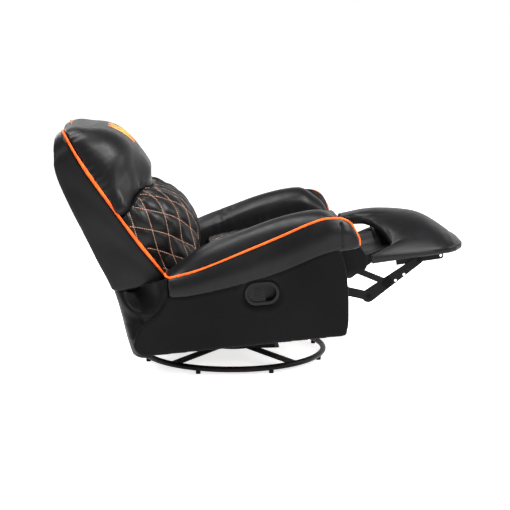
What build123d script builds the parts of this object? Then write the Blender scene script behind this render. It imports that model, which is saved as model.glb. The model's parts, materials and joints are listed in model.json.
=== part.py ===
from build123d import *
from math import atan2, cos, degrees, hypot, pi, radians, sin, sqrt, tan
import os

# A gaming recliner on a ring-shaped swivel base, in millimetres.
# X points ahead of the sitter, Y to the sitter's left, Z up.
# The origin is where the swivel axis meets the floor.
# The rest pose: body rocked back, back part reclined, footrest out.

# Clearances
overrun = 20.0
right_angle = 90.0
seat_gap = 0.3
pin_gap = 0.3
side_gap = 1.0

# Rest pose
rock_angle = 5.0
pivot_height = 150.0
back_angle = 30.0
pad_tilt = 2.5

# Ring base
ring_radius = 355.0
ring_tube = 22.0
ring_lift = 10.0
glide_count = 8
glide_first = 20.0
glide_radius = 9.0
spoke_angles = (-134.0, -52.0, 52.0, 134.0)
spoke_width = 40.0
strap_thick = 6.0
hub_radius = 100.0
hub_rise = 17.0
swivel_plate_side = 180.0
swivel_plate_thick = 3.0
ball_radius = 3.0
ball_count = 14
ball_circle = 75.0
ball_gap = 0.15
cage_width = 14.0
bolt_radius = 8.0
bolt_head_radius = 14.0
bolt_head_thick = 6.0
bolt_head_sides = 6

# Turntable and rocker
turn_plate_length = 340.0
turn_plate_width = 300.0
turn_plate_thick = 3.0
rail_length = 300.0
rail_side = 30.0
rail_wall = 2.0
rail_centre = 140.0
ear_thick = 5.0
ear_foot = 90.0
ear_head = 22.0
rock_pin_radius = 8.0
pin_head_radius = 12.0
pin_head_thick = 3.0
coil_radius = 18.0
coil_wire = 6.0
coil_centre = 95.0

# Body frame
body_width = 890.0
body_bottom = 127.0
panel_rear = -385.0
panel_length = 790.0
panel_height = 320.0
panel_thick = 14.0
seat_width = 550.0
board_thick = 12.0
cross_tube_side = 25.0
cross_tube_wall = 2.0
cross_tube_centre = 215.5
cross_tube_rear = -150.0
cross_tube_front = 120.0
plate_thick = 4.0
plate_inner = 250.0
bracket_thick = 5.0
bracket_toe = 20.0
bracket_spread = 15.0

# Arms
arm_rear = -240.0
arm_length = 700.0
arm_rise = 470.0
piping_radius = 4.5
post_side = 40.0
frame_inset = 16.0
frame_rear_share = 0.48
frame_front_share = 0.76
piping_inset_share = 0.13
crown_inset_share = 0.42
crown_drop_share = 0.45
crown_bow_share = 0.3
bend_share = 0.45

# Seat
seat_side_gap = 3.0
seat_rear = -62.0
seat_nose = 455.0
seat_top_rear = 450.0
seat_top_front = 508.0
nose_under = 466.0
nose_setback = 402.0
seat_crown = 26.0
rail_depth = 20.0
front_rail_rear = 332.0
front_rail_ahead = 381.0
front_rail_top = 406.0
rear_rail_rear = -100.0
rear_rail_ahead = -62.0
rear_rail_top = 342.0
front_board_drop = 130.0
board_side_room = 24.0
spring_wire = 3.5
spring_rows = 5
spring_pitch = 95.0
spring_swing = 50.0
spring_step = 29.0
deck_pad = 0.65
channel_width = 3.0
channel_depth = 3.0
quilt_pitch = 88.0
quilt_height_share = 0.88
quilt_width_share = 0.76

# Back
recline_u = -250.0
recline_w = 330.0
recline_pin_radius = 6.0
shell_width = 660.0
shell_height = 710.0
shell_depth = 206.0
shell_front = 25.0
shell_corner = 100.0
shell_wall = 12.0
upright_depth = 40.0
upright_foot = 62.0
upright_top = 590.0
shell_opening_share = 0.45
shoulder_shares = (0.55, 0.96)
flank_shares = (0.9, 0.62)
back_rail_height = 40.0
back_rail_thick = 20.0
bracket_width = 44.0
bracket_reach = 240.0
webbing_thick = 2.0
webbing_width = 50.0
webbing_count = 4
head_foot = 322.0
head_height = 376.0
head_crown = 184.0
lumbar_foot = 27.0
lumbar_height = 291.0
lumbar_crown = 228.0

# Skirt behind the body and sheet under the footrest
skirt_thick = 5.0
skirt_top = 346.0
skirt_hem = 108.0
skirt_fold = 14.0
skirt_lap = 8.0
skirt_bulge = 56.0
skirt_front = -262.0
skirt_corner = 40.0
skirt_corner_share = 0.7
skirt_folds = 4
skirt_knee_share = 0.24
sheet_thick = 4.0
sheet_width = 450.0

# Footrest linkage
pad_u = 515.0
pad_w = 350.0
crank_u = 315.0
crank_w = 354.4
knee_u = 505.0
knee_w = 224.0
elbow_u = 392.0
elbow_w = 262.0
ankle_along = 192.0
ankle_drop = 16.0
brace_u = 392.0
brace_w = 367.4
brace_along = 87.0
rear_link_width = 34.0
front_link_width = 50.0
front_link_toe = 15.0
upper_link_width = 24.0
link_gap = 1.0
link_hole = 5.0
link_hole_count = 3
rivet_radius = 5.0
rivet_head_radius = 9.0
rivet_head_thick = 2.0
brace_slack = 8.0
torque_tube_radius = 11.0
torque_tube_wall = 2.0

# Footrest
pad_width = 536.0
pad_length = 392.0
board_height = 12.0
board_start = 90.0
board_length = 240.0
pad_crown = 150.0
wing_start = 12.0
bar_height = 25.0
bar_start = 105.0
bar_length = 172.0

# Handle
handle_u = 92.0
handle_w = 316.5
bezel_length = 125.0
bezel_height = 83.0
bezel_rim = 11.0
bezel_proud = 5.0
cup_depth = 26.0
cup_wall = 2.0
flap_length = 62.0
flap_thick = 6.0
flap_rib = 2.0
flap_rib_count = 5
hinge_radius = 2.5
hinge_inset = 8.0
cable_radius = 3.0
latch_u = 150.0
latch_w = 262.0
latch_length = 46.0
latch_width = 18.0

# Frames: the body frame has u ahead along the body and w up, and turns about the rocker pivot
lean = radians(rock_angle)


def ahead_of(tilt):
    return Vector(cos(lean + radians(tilt)), 0, sin(lean + radians(tilt)))


def up_of(tilt):
    return Vector(-sin(lean + radians(tilt)), 0, cos(lean + radians(tilt)))


def body_point(u, y, w):
    return Vector(0, y, pivot_height) + ahead_of(0) * u + up_of(0) * (w - pivot_height)


# Planes of a frame whose origin is at (u, w) in the body frame, tilted back by an angle
def side_plane(y, at=(0, 0), tilt=0):
    return Plane(origin=body_point(at[0], y, at[1]), x_dir=ahead_of(tilt), z_dir=(0, -1, 0))


def cross_plane(along, at=(0, 0), tilt=0):
    origin = body_point(at[0], 0, at[1]) + ahead_of(tilt) * along
    return Plane(origin=origin, x_dir=(0, 1, 0), z_dir=ahead_of(tilt))


def level_plane(height, at=(0, 0), tilt=0):
    origin = body_point(at[0], 0, at[1]) + up_of(tilt) * height
    return Plane(origin=origin, x_dir=ahead_of(tilt), z_dir=up_of(tilt))


back_at = (recline_u, recline_w)
pad_at = (pad_u, pad_w)


# Points from shares of a length and a height, counted from a corner
def shared(shares, corner, length, height):
    return [(corner[0] + a * length, corner[1] + b * height) for a, b in shares]


# The point at a place in a tilted frame, as body coordinates
def from_frame(along, up, at, tilt):
    c = cos(radians(tilt))
    s = sin(radians(tilt))
    return (at[0] + along * c - up * s, at[1] + along * s + up * c)


def save(name, solid):
    solid.label = name
    export_step(solid, f"parts/{name}.step")


# The near side is the sitter's right, at -Y, and the far side mirrors it
def save_pair(name, solid):
    save(f"{name}_right", solid)
    save(f"{name}_left", mirror(solid, about=Plane.XZ))


# Small pieces of both sides share one node
def save_both(name, solid):
    save(name, Compound(children=[*solid.solids(), *mirror(solid, about=Plane.XZ).solids()]))


# A strap with round ends along a line of points
def strap(points, width):
    for a, b in zip(points, points[1:]):
        length = hypot(b[0] - a[0], b[1] - a[1])
        turn = degrees(atan2(b[1] - a[1], b[0] - a[0]))
        middle = ((a[0] + b[0]) / 2, (a[1] + b[1]) / 2)
        with Locations(middle):
            SlotCenterToCenter(length, width, rotation=turn)


# Ring base
ring_height = ring_lift + ring_tube / 2
ring_inner = ring_radius - ring_tube / 2
hub_low = ring_height + hub_rise - strap_thick / 2
hub_top = hub_low + strap_thick

with BuildPart() as base_ring:
    with BuildSketch(Plane.XZ):
        with Locations((ring_radius, ring_height)):
            Circle(ring_tube / 2)
    revolve(axis=Axis.Z)
save("base_ring", base_ring.part)

with BuildPart() as floor_glides:
    with BuildSketch(Plane.XY):
        with PolarLocations(ring_radius, glide_count, start_angle=glide_first):
            Circle(glide_radius)
    extrude(amount=ring_lift + ring_tube / 2)
    with BuildSketch(Plane.XZ):
        with Locations((ring_radius, ring_height)):
            Circle(ring_tube / 2 + seat_gap)
    revolve(axis=Axis.Z, mode=Mode.SUBTRACT)
glides = [s for s in floor_glides.part.solids() if s.center().Z < ring_lift]
save("floor_glides", Compound(children=glides))

with BuildPart() as base_cross:
    with BuildSketch(Plane.XY.offset(hub_low)):
        Circle(hub_radius)
    extrude(amount=strap_thick)
    for spoke_angle in spoke_angles:
        spoke_plane = Plane.XZ.rotated((0, 0, spoke_angle))
        foot = sqrt(ring_inner**2 - spoke_width**2 / 4) - seat_gap
        knee = hub_radius - strap_thick
        low = ring_height - strap_thick / 2
        with BuildSketch(spoke_plane):
            with BuildLine():
                Polyline((foot, low), (foot, low + strap_thick), (knee, hub_top), (knee, hub_low), close=True)
            make_face()
        extrude(amount=spoke_width / 2, both=True)
    with BuildSketch(Plane.XY.offset(hub_low)):
        Circle(bolt_radius + pin_gap)
    extrude(amount=strap_thick, mode=Mode.SUBTRACT)
save("base_cross", base_cross.part)

lower_top = hub_top + swivel_plate_thick
with BuildPart() as lower_swivel_plate:
    with BuildSketch(Plane.XY.offset(hub_top)):
        RectangleRounded(swivel_plate_side, swivel_plate_side, bolt_head_radius)
        Circle(bolt_radius + pin_gap, mode=Mode.SUBTRACT)
    extrude(amount=swivel_plate_thick)
save("lower_swivel_plate", lower_swivel_plate.part)

upper_low = lower_top + 2 * (ball_radius + ball_gap)
upper_top = upper_low + turn_plate_thick
with BuildPart() as bearing_balls:
    with PolarLocations(ball_circle, ball_count):
        with Locations((0, 0, lower_top + ball_gap + ball_radius)):
            Sphere(ball_radius)
save("bearing_balls", bearing_balls.part)

with BuildPart() as bearing_cage:
    with BuildSketch(Plane.XY.offset(lower_top)):
        Circle(ball_circle + cage_width / 2)
        Circle(ball_circle - cage_width / 2, mode=Mode.SUBTRACT)
        with PolarLocations(ball_circle, ball_count):
            Circle(ball_radius + pin_gap, mode=Mode.SUBTRACT)
    extrude(amount=ball_radius + ball_gap + ball_radius / 2)
save("bearing_cage", bearing_cage.part)

with BuildPart() as swivel_bolt:
    with BuildSketch(Plane.XY.offset(hub_low - bolt_head_thick)):
        RegularPolygon(bolt_head_radius, bolt_head_sides)
    extrude(amount=bolt_head_thick)
    with BuildSketch(Plane.XY.offset(hub_low)):
        Circle(bolt_radius)
    extrude(amount=upper_top + seat_gap - hub_low)
    with BuildSketch(Plane.XY.offset(upper_top + seat_gap)):
        RegularPolygon(bolt_head_radius, bolt_head_sides)
    extrude(amount=bolt_head_thick)
save("swivel_bolt", swivel_bolt.part)

# Turntable
with BuildPart() as turn_plate:
    with BuildSketch(Plane.XY.offset(upper_low)):
        RectangleRounded(turn_plate_length, turn_plate_width, bolt_head_radius)
        Circle(bolt_radius + pin_gap, mode=Mode.SUBTRACT)
    extrude(amount=turn_plate_thick)
save("turn_plate", turn_plate.part)

rail_outer = rail_centre + rail_side / 2
with BuildPart() as rocker_rails:
    for side in (-1, 1):
        with BuildSketch(Plane.YZ.offset(-rail_length / 2)):
            with Locations((side * rail_centre, upper_top + rail_side / 2)):
                Rectangle(rail_side, rail_side)
                Rectangle(rail_side - 2 * rail_wall, rail_side - 2 * rail_wall, mode=Mode.SUBTRACT)
        extrude(amount=rail_length)
save("rocker_rails", rocker_rails.part)

with BuildPart() as pivot_ear:
    with BuildSketch(Plane.XZ.offset(rail_outer)):
        with BuildLine():
            l1 = Line((-ear_foot / 2, upper_top), (ear_foot / 2, upper_top))
            l2 = Line(l1 @ 1, (ear_head, pivot_height))
            l3 = RadiusArc(l2 @ 1, (-ear_head, pivot_height), -ear_head)
            Line(l3 @ 1, l1 @ 0)
        make_face()
        with Locations((0, pivot_height)):
            Circle(rock_pin_radius + pin_gap, mode=Mode.SUBTRACT)
    extrude(amount=ear_thick)
save_both("pivot_ears", pivot_ear.part)

bracket_inner = rail_outer + ear_thick + side_gap
bracket_outer = bracket_inner + bracket_thick
with BuildPart() as rock_pin:
    with BuildSketch(Plane.XZ.offset(rail_outer - seat_gap - pin_head_thick)):
        with Locations((0, pivot_height)):
            Circle(pin_head_radius)
    extrude(amount=pin_head_thick)
    with BuildSketch(Plane.XZ.offset(rail_outer - seat_gap)):
        with Locations((0, pivot_height)):
            Circle(rock_pin_radius)
    extrude(amount=bracket_outer + 2 * seat_gap - rail_outer)
    with BuildSketch(Plane.XZ.offset(bracket_outer + seat_gap)):
        with Locations((0, pivot_height)):
            Circle(pin_head_radius)
    extrude(amount=pin_head_thick)
save_both("rock_pins", rock_pin.part)

tube_low = cross_tube_centre - cross_tube_side / 2
with BuildPart() as rocker_springs:
    for tube_u in (cross_tube_rear, cross_tube_front):
        top = body_point(tube_u, 0, tube_low)
        reach = top.Z - coil_radius * tan(lean) - seat_gap - upper_top - seat_gap
        with BuildSketch(Plane.XY.offset(upper_top + seat_gap)):
            for side in (-1, 1):
                with Locations((top.X, side * coil_centre)):
                    Circle(coil_radius)
                    Circle(coil_radius - coil_wire, mode=Mode.SUBTRACT)
        extrude(amount=reach)
save("rocker_springs", rocker_springs.part)

# Body frame: plates, tubes and brackets
with BuildPart() as cross_tubes:
    for tube_u in (cross_tube_rear, cross_tube_front):
        with BuildSketch(side_plane(plate_inner - seat_gap)):
            with Locations((tube_u, cross_tube_centre)):
                Rectangle(cross_tube_side, cross_tube_side)
                hollow = cross_tube_side - 2 * cross_tube_wall
                Rectangle(hollow, hollow, mode=Mode.SUBTRACT)
        extrude(amount=2 * (plate_inner - seat_gap))
save("cross_tubes", cross_tubes.part)

with BuildPart() as rocker_bracket:
    with BuildSketch(side_plane(-bracket_inner)):
        with BuildLine():
            foot_ahead = (cross_tube_front + bracket_spread, tube_low)
            l1 = Line((cross_tube_rear - bracket_spread, tube_low), foot_ahead)
            l2 = Line(l1 @ 1, (bracket_toe, pivot_height))
            l3 = RadiusArc(l2 @ 1, (-bracket_toe, pivot_height), bracket_toe)
            Line(l3 @ 1, l1 @ 0)
        make_face()
        with Locations((0, pivot_height)):
            Circle(rock_pin_radius + pin_gap, mode=Mode.SUBTRACT)
    extrude(amount=bracket_thick)
save_both("rocker_brackets", rocker_bracket.part)

crank = (crank_u, crank_w)
brace = (brace_u, brace_w)
knee_pin = (knee_u, knee_w)
elbow = (elbow_u, elbow_w)
ankle = from_frame(ankle_along, -ankle_drop, pad_at, pad_tilt)
front_link_turn = atan2(ankle[1] - knee_w, ankle[0] - knee_u)
brace_foot = (knee_u + brace_along * cos(front_link_turn), knee_w + brace_along * sin(front_link_turn))
tube_drop = cross_tube_side / 2 + plate_thick
plate_foot = cross_tube_centre - tube_drop
plate_edge = recline_pin_radius * 4
with BuildPart() as mechanism_plate:
    with BuildSketch(side_plane(-plate_inner)):
        with BuildLine():
            Polyline(
                (recline_u - plate_edge, recline_w - plate_edge),
                (recline_u - plate_edge, recline_w + plate_edge),
                (recline_u + plate_edge, recline_w + plate_edge),
                (rear_rail_rear - plate_edge, rear_rail_top - rail_depth - seat_gap),
                (crank_u - 4 * plate_edge, rear_rail_top - rail_depth - seat_gap),
                (crank_u - plate_edge, brace_w + plate_edge / 2),
                (brace_u + upper_link_width / 2, brace_w + plate_edge / 2),
                (brace_u + upper_link_width / 2, brace_w - plate_edge),
                (crank_u, crank_w - plate_edge),
                (cross_tube_front + cross_tube_side, plate_foot),
                (cross_tube_rear - cross_tube_side, plate_foot),
                close=True,
            )
        make_face()
        with Locations(crank, brace):
            Circle(rivet_radius + pin_gap, mode=Mode.SUBTRACT)
        with Locations(back_at):
            Circle(recline_pin_radius + pin_gap, mode=Mode.SUBTRACT)
    extrude(amount=plate_thick)
save_pair("mechanism_plate", mechanism_plate.part)

plate_outer = plate_inner + plate_thick
link_outer = plate_inner - link_gap
link_inner = link_outer - plate_thick - link_gap
bar_outer = link_inner - plate_thick - link_gap


# A rivet along Y between two faces, with a head at each end that has a radius
def rivet(place, inner, outer, radius, inner_head=0, outer_head=0):
    with BuildPart() as made:
        with BuildSketch(side_plane(-inner + seat_gap)):
            with Locations(place):
                Circle(radius)
        extrude(amount=outer - inner + 2 * seat_gap)
        if outer_head:
            with BuildSketch(side_plane(-outer - seat_gap)):
                with Locations(place):
                    Circle(outer_head)
            extrude(amount=rivet_head_thick)
        if inner_head:
            with BuildSketch(side_plane(-inner + seat_gap + rivet_head_thick)):
                with Locations(place):
                    Circle(inner_head)
            extrude(amount=rivet_head_thick)
    return made.part


with BuildPart() as recline_pin:
    head = recline_pin_radius + rivet_head_thick * 2
    add(rivet(back_at, link_outer - plate_thick, plate_outer, recline_pin_radius, head, head))
save_both("recline_pins", recline_pin.part)

# Links of the footrest
with BuildPart() as rear_link:
    with BuildSketch(side_plane(-link_outer + plate_thick)):
        strap([crank, elbow, knee_pin], rear_link_width)
        with Locations(crank, knee_pin):
            Circle(rivet_radius + pin_gap, mode=Mode.SUBTRACT)
    extrude(amount=plate_thick)
save_pair("rear_link", rear_link.part)

with BuildPart() as torque_tube:
    with BuildSketch(side_plane(link_outer - plate_thick - seat_gap)):
        with Locations(crank):
            Circle(torque_tube_radius)
            Circle(torque_tube_radius - torque_tube_wall, mode=Mode.SUBTRACT)
    extrude(amount=2 * (link_outer - plate_thick - seat_gap))
save("torque_tube", torque_tube.part)

with BuildPart() as rear_link_rivets:
    add(rivet(crank, link_outer - plate_thick + seat_gap, plate_outer, rivet_radius, 0, rivet_head_radius))
    knee_from = link_inner - plate_thick
    add(rivet(knee_pin, knee_from, link_outer, rivet_radius, rivet_head_radius, rivet_head_radius))
save_both("rear_link_rivets", rear_link_rivets.part)

with BuildPart() as front_link:
    with BuildSketch(side_plane(-link_inner + plate_thick)):
        with Locations(knee_pin):
            Circle(front_link_width / 2)
        with Locations(ankle):
            Circle(front_link_toe)
        make_hull()
        with Locations(knee_pin, ankle, brace_foot):
            Circle(rivet_radius + pin_gap, mode=Mode.SUBTRACT)
        reach = hypot(ankle[0] - knee_u, ankle[1] - knee_w)
        for step in range(link_hole_count):
            along = reach * (step + 2) / (link_hole_count + 3)
            below = -front_link_width / 4
            c = cos(front_link_turn)
            s = sin(front_link_turn)
            with Locations((knee_u + along * c - below * s, knee_w + along * s + below * c)):
                Circle(link_hole, mode=Mode.SUBTRACT)
    extrude(amount=plate_thick)
save_pair("front_link", front_link.part)

brace_hole = rivet_radius + brace_slack
brace_end = brace_hole + upper_link_width / 4
with BuildPart() as upper_link:
    with BuildSketch(side_plane(-link_outer + plate_thick)):
        strap([brace, brace_foot], upper_link_width)
        with Locations(brace_foot):
            Circle(brace_end)
            Circle(brace_hole, mode=Mode.SUBTRACT)
        with Locations(brace):
            Circle(rivet_radius + pin_gap, mode=Mode.SUBTRACT)
    extrude(amount=plate_thick)
save_both("upper_links", upper_link.part)

with BuildPart() as upper_link_rivets:
    add(rivet(brace, link_outer - plate_thick, plate_outer, rivet_radius, rivet_head_radius, rivet_head_radius))
save_both("upper_link_rivets", upper_link_rivets.part)

with BuildPart() as front_link_rivets:
    add(rivet(ankle, bar_outer - plate_thick, link_inner, rivet_radius, rivet_head_radius, rivet_head_radius))
    add(rivet(brace_foot, link_inner - plate_thick, link_outer, rivet_radius, rivet_head_radius, brace_end))
save_both("front_link_rivets", front_link_rivets.part)

# Seat frame
deck_rise = front_rail_top - rear_rail_top
deck_run = front_rail_rear - rear_rail_ahead
arm_inner = seat_width / 2 + board_thick


# Height of the underside of the seat cushion at a place along the body
def deck_height(u):
    return rear_rail_top + (u - rear_rail_ahead) * deck_rise / deck_run + spring_wire + deck_pad


with BuildPart() as seat_rails:
    with BuildSketch(side_plane(arm_inner - board_thick - seat_gap)):
        for low_u, high_u, top in (
            (front_rail_rear, front_rail_ahead, front_rail_top),
            (rear_rail_rear, rear_rail_ahead, rear_rail_top),
        ):
            with Locations(((low_u + high_u) / 2, top - rail_depth / 2)):
                Rectangle(high_u - low_u, rail_depth)
    extrude(amount=2 * (arm_inner - board_thick - seat_gap))
save("seat_rails", seat_rails.part)

with BuildPart() as front_board:
    with BuildSketch(side_plane(plate_inner - board_side_room)):
        with Locations((front_rail_ahead + board_thick / 2, front_rail_top - front_board_drop / 2)):
            Rectangle(board_thick, front_board_drop)
    extrude(amount=2 * (plate_inner - board_side_room))
save("front_board", front_board.part)

# Sinuous wire springs between the two rails
spring_tilt = degrees(atan2(deck_rise, deck_run))
spring_reach = hypot(deck_rise, deck_run)
spring_at = (rear_rail_ahead, rear_rail_top + spring_wire / 2 + seat_gap)
spring_turns = int(spring_reach / spring_step)
spring_stride = spring_reach / spring_turns
spring_bend_share = 0.45
with BuildPart() as seat_springs:
    for row in range(spring_rows):
        middle = (row - (spring_rows - 1) / 2) * spring_pitch
        points = [(0, middle)]
        for turn in range(spring_turns):
            swing = spring_swing / 2 if turn % 2 else -spring_swing / 2
            points.append((spring_stride * turn, middle + swing))
            points.append((spring_stride * (turn + 1), middle + swing))
        points.append((spring_reach, middle))
        with BuildLine(level_plane(0, spring_at, spring_tilt)) as zigzag:
            FilletPolyline(*points, radius=spring_stride * spring_bend_share)
        with BuildSketch(Plane(origin=zigzag.line @ 0, z_dir=zigzag.line % 0)):
            Circle(spring_wire / 2)
        sweep()
save("seat_springs", seat_springs.part)

# Seat cushion: a side profile under a crown, with sewn diamond channels on top
seat_half = seat_width / 2 - seat_side_gap
seat_run = seat_nose - nose_setback
seat_tilt = degrees(atan2(seat_top_front - seat_top_rear, seat_nose - seat_run / 4 - seat_rear))
seat_reach = hypot(seat_nose - seat_rear, seat_top_front - seat_top_rear)
seat_corner = (seat_rear, seat_top_rear)


# A block with an arched top, whose top is lowered by a depth
def crowned_block(depth):
    with BuildPart() as made:
        with BuildSketch(cross_plane(-overrun, seat_corner, seat_tilt)):
            with BuildLine():
                l1 = Line((-seat_half, -seat_crown - depth), (-seat_half, -seat_top_rear))
                l2 = Line(l1 @ 1, (seat_half, -seat_top_rear))
                l3 = Line(l2 @ 1, (seat_half, -seat_crown - depth))
                ThreePointArc(l3 @ 1, (0, -depth), l1 @ 0)
            make_face()
        extrude(amount=seat_reach + 2 * overrun)
    return made.part


# Crossing slabs that mark out diamonds on a plane
def diamond_slabs(plane, length, width, depth):
    slab_length = abs(length) + width
    rows = int(slab_length / quilt_pitch / 2) + 1
    with BuildPart() as made:
        for turn in (-1, 1):
            with BuildSketch(plane):
                for row in range(-rows, rows + 1):
                    with Locations((length / 2 + row * quilt_pitch, 0)):
                        Rectangle(slab_length, channel_width, rotation=turn * 45)
            extrude(amount=depth, both=True)
        with BuildSketch(plane):
            with Locations((length / 2, 0)):
                Rectangle(abs(length), width)
        extrude(amount=depth, both=True, mode=Mode.INTERSECT)
    return made.part


crown_body = crowned_block(0)
crown_low = crowned_block(channel_depth)
seat_slabs = diamond_slabs(level_plane(0, seat_corner, seat_tilt), seat_reach, 2 * seat_half, seat_crown * 2)
with BuildPart() as seat_cushion:
    with BuildSketch(side_plane(seat_half)):
        with BuildLine():
            l1 = Line((seat_rear, seat_top_rear), (seat_rear, deck_height(seat_rear)))
            l2 = Line(l1 @ 1, (nose_setback, deck_height(nose_setback)))
            l3 = Line(l2 @ 1, (nose_setback, nose_under))
            l4 = Line(l3 @ 1, (seat_nose - seat_run / 4, nose_under))
            l5 = ThreePointArc(
                l4 @ 1,
                (seat_nose, (nose_under + seat_top_front) / 2),
                (seat_nose - seat_run / 4, seat_top_front),
            )
            Line(l5 @ 1, l1 @ 0)
        make_face()
    extrude(amount=2 * seat_half)
    add(crown_body, mode=Mode.INTERSECT)
    add(seat_slabs - crown_low, mode=Mode.SUBTRACT)
save("seat_cushion", seat_cushion.part)

# Arms: panel, wooden frame, front panel, pad and piping
panel_outer = body_width / 2
panel_inner = panel_outer - panel_thick
panel_corner = (panel_rear, body_bottom)
panel_size = (panel_length, panel_height)
panel_rear_shares = [(0.047, 0), (0.018, 0.04), (0, 0.113), (0.008, 0.216), (0.029, 0.31)]
panel_rear_shares += [(0.085, 0.41), (0.141, 0.516)]
panel_top_shares = [(0.171, 0.65), (0.262, 0.633), (0.396, 0.663), (0.556, 0.722), (0.716, 0.819), (0.838, 0.916)]
panel_tip_shares = [(0.919, 0.975), (0.971, 1.0)]
panel_front_shares = [(0.987, 0.909), (1.0, 0.647), (0.997, 0.309), (0.987, 0.113), (0.972, 0.0)]


# Outline of the side panel
def panel_outline():
    rear = shared(panel_rear_shares, panel_corner, *panel_size)
    top = shared(panel_top_shares + panel_tip_shares, panel_corner, *panel_size)
    front = shared(panel_front_shares, panel_corner, *panel_size)
    with BuildSketch(Plane.XY) as made:
        with BuildLine():
            Spline(*rear)
            Line(rear[-1], top[0])
            Spline(*top)
            Line(top[-1], front[0])
            Spline(*front)
            Line(front[-1], rear[0])
        make_face()
    return made.sketch


cup_length = bezel_length - 2 * bezel_rim + 2 * cup_wall
cup_height = bezel_height - 2 * bezel_rim + 2 * cup_wall
handle_at = (handle_u, handle_w)


# A round-ended shape at the handle
def handle_slot(length, height, mode=Mode.ADD):
    with Locations(handle_at):
        SlotOverall(length, height, mode=mode)


for panel_name, handed in (("side_panel_right", True), ("side_panel_left", False)):
    with BuildPart() as side_panel:
        with BuildSketch(side_plane(-panel_inner)):
            add(panel_outline())
            if handed:
                handle_slot(cup_length + 2 * seat_gap, cup_height + 2 * seat_gap, Mode.SUBTRACT)
        extrude(amount=panel_thick)
    save(panel_name, side_panel.part if handed else mirror(side_panel.part, about=Plane.XZ))

# Wooden arm frames: two boards and three posts between them
frame_foot = body_bottom + frame_inset
frame_rear_top = frame_foot + panel_height * frame_rear_share
frame_front_top = frame_foot + panel_height * frame_front_share
frame_front = panel_rear + panel_length * panel_front_shares[-1][0] - panel_thick - seat_gap
frame_outer = panel_inner - seat_gap
board_points = [
    (arm_rear + frame_inset, frame_foot),
    (arm_rear + frame_inset, frame_rear_top),
    (frame_front - post_side, frame_front_top),
    (frame_front, frame_front_top),
    (frame_front, frame_foot),
]
cable_exit = (latch_u - latch_width / 2, latch_w + cable_radius * 2)
for frame_name, handed in (("arm_frame_right", True), ("arm_frame_left", False)):
    with BuildPart() as arm_frame:
        with BuildSketch(side_plane(-arm_inner + board_thick)):
            with BuildLine():
                Polyline(*board_points, close=True)
            make_face()
            if handed:
                with Locations(cable_exit):
                    Circle(cable_radius * 2, mode=Mode.SUBTRACT)
        extrude(amount=board_thick)
        with BuildSketch(side_plane(-frame_outer + board_thick)):
            with BuildLine():
                Polyline(*board_points, close=True)
            make_face()
            if handed:
                handle_slot(cup_length + 2 * side_gap, cup_height + 2 * side_gap, Mode.SUBTRACT)
        extrude(amount=board_thick)
        with BuildSketch(side_plane(-arm_inner)):
            for post_u in (arm_rear + frame_inset + post_side / 2, frame_front - post_side / 2):
                with Locations((post_u, frame_foot + post_side * 2)):
                    Rectangle(post_side, post_side * 4)
        extrude(amount=frame_outer - board_thick - arm_inner)
    save(frame_name, arm_frame.part if handed else mirror(arm_frame.part, about=Plane.XZ))

# Leather-covered front of each arm, from the side panel to the inner board
with BuildPart() as arm_front:
    with BuildSketch(side_plane(-arm_inner + board_thick)):
        with BuildLine():
            front = shared(panel_front_shares, panel_corner, *panel_size)
            l1 = Spline(*front)
            l2 = Line(l1 @ 1, ((l1 @ 1).X - panel_thick, (l1 @ 1).Y))
            l3 = Line(l2 @ 1, ((l1 @ 0).X - panel_thick, (l1 @ 0).Y))
            Line(l3 @ 1, l1 @ 0)
        make_face()
    extrude(amount=panel_inner - seat_gap - arm_inner + board_thick)
save_pair("arm_front", arm_front.part)

# Arm pad: cross sections along the arm, each as along, underside, piping and crown heights
arm_station_shares = [
    (0.0, 0.453, 0.587, 0.611, 0.0),
    (0.09, 0.443, 0.6, 0.69, 0.0),
    (0.183, 0.453, 0.632, 0.772, 0.0),
    (0.4, 0.497, 0.726, 0.872, 0.0),
    (0.614, 0.567, 0.828, 0.95, 0.0),
    (0.771, 0.644, 0.909, 0.975, 0.0),
    (0.886, 0.687, 0.928, 0.952, 0.0),
    (0.957, 0.693, 0.889, 0.89, 0.05),
    (1.0, 0.7, 0.765, 0.79, 0.2),
]
arm_wide = panel_outer - seat_width / 2
piping_side = panel_outer - arm_wide * piping_inset_share
crown_side = seat_width / 2 + arm_wide * crown_inset_share
with BuildPart() as arm_pad:
    for along, foot, edge, crest, draw in arm_station_shares:
        u = arm_rear + along * arm_length
        low = body_bottom + foot * arm_rise
        seam = body_bottom + edge * arm_rise
        top = body_bottom + crest * arm_rise
        inner_y = seat_width / 2 + draw * arm_wide
        outer_y = panel_outer - draw * arm_wide / 2
        pipe_y = piping_side - draw * arm_wide / 2
        drop = (top - low) * crown_drop_share
        with BuildSketch(cross_plane(u)):
            with BuildLine():
                l1 = Line((-outer_y + panel_thick / 2, low), (-inner_y, low))
                l2 = Line(l1 @ 1, (-inner_y, top - drop))
                quarter = 1 - sqrt(1 / 2)
                bend = (-inner_y - (crown_side - inner_y) * quarter, top - drop * quarter)
                l3 = ThreePointArc(l2 @ 1, bend, (-crown_side, top))
                rise = (top - seam) * crown_bow_share
                bow = (-(crown_side + pipe_y) / 2, (top + seam) / 2 + rise)
                l4 = ThreePointArc(l3 @ 1, bow, (-pipe_y, seam))
                ThreePointArc(l4 @ 1, (-outer_y, (low + seam) / 2), l1 @ 0)
            make_face()
    loft()

piping_path_shares = [(0.01, 0.585), (0.14, 0.612), (0.27, 0.667), (0.43, 0.742), (0.6, 0.82), (0.73, 0.887)]
piping_tip_shares = [(0.83, 0.926), (0.92, 0.915), (0.965, 0.873), (0.995, 0.77)]
piping_points = shared(piping_path_shares + piping_tip_shares, (arm_rear, body_bottom), arm_length, arm_rise)


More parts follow.
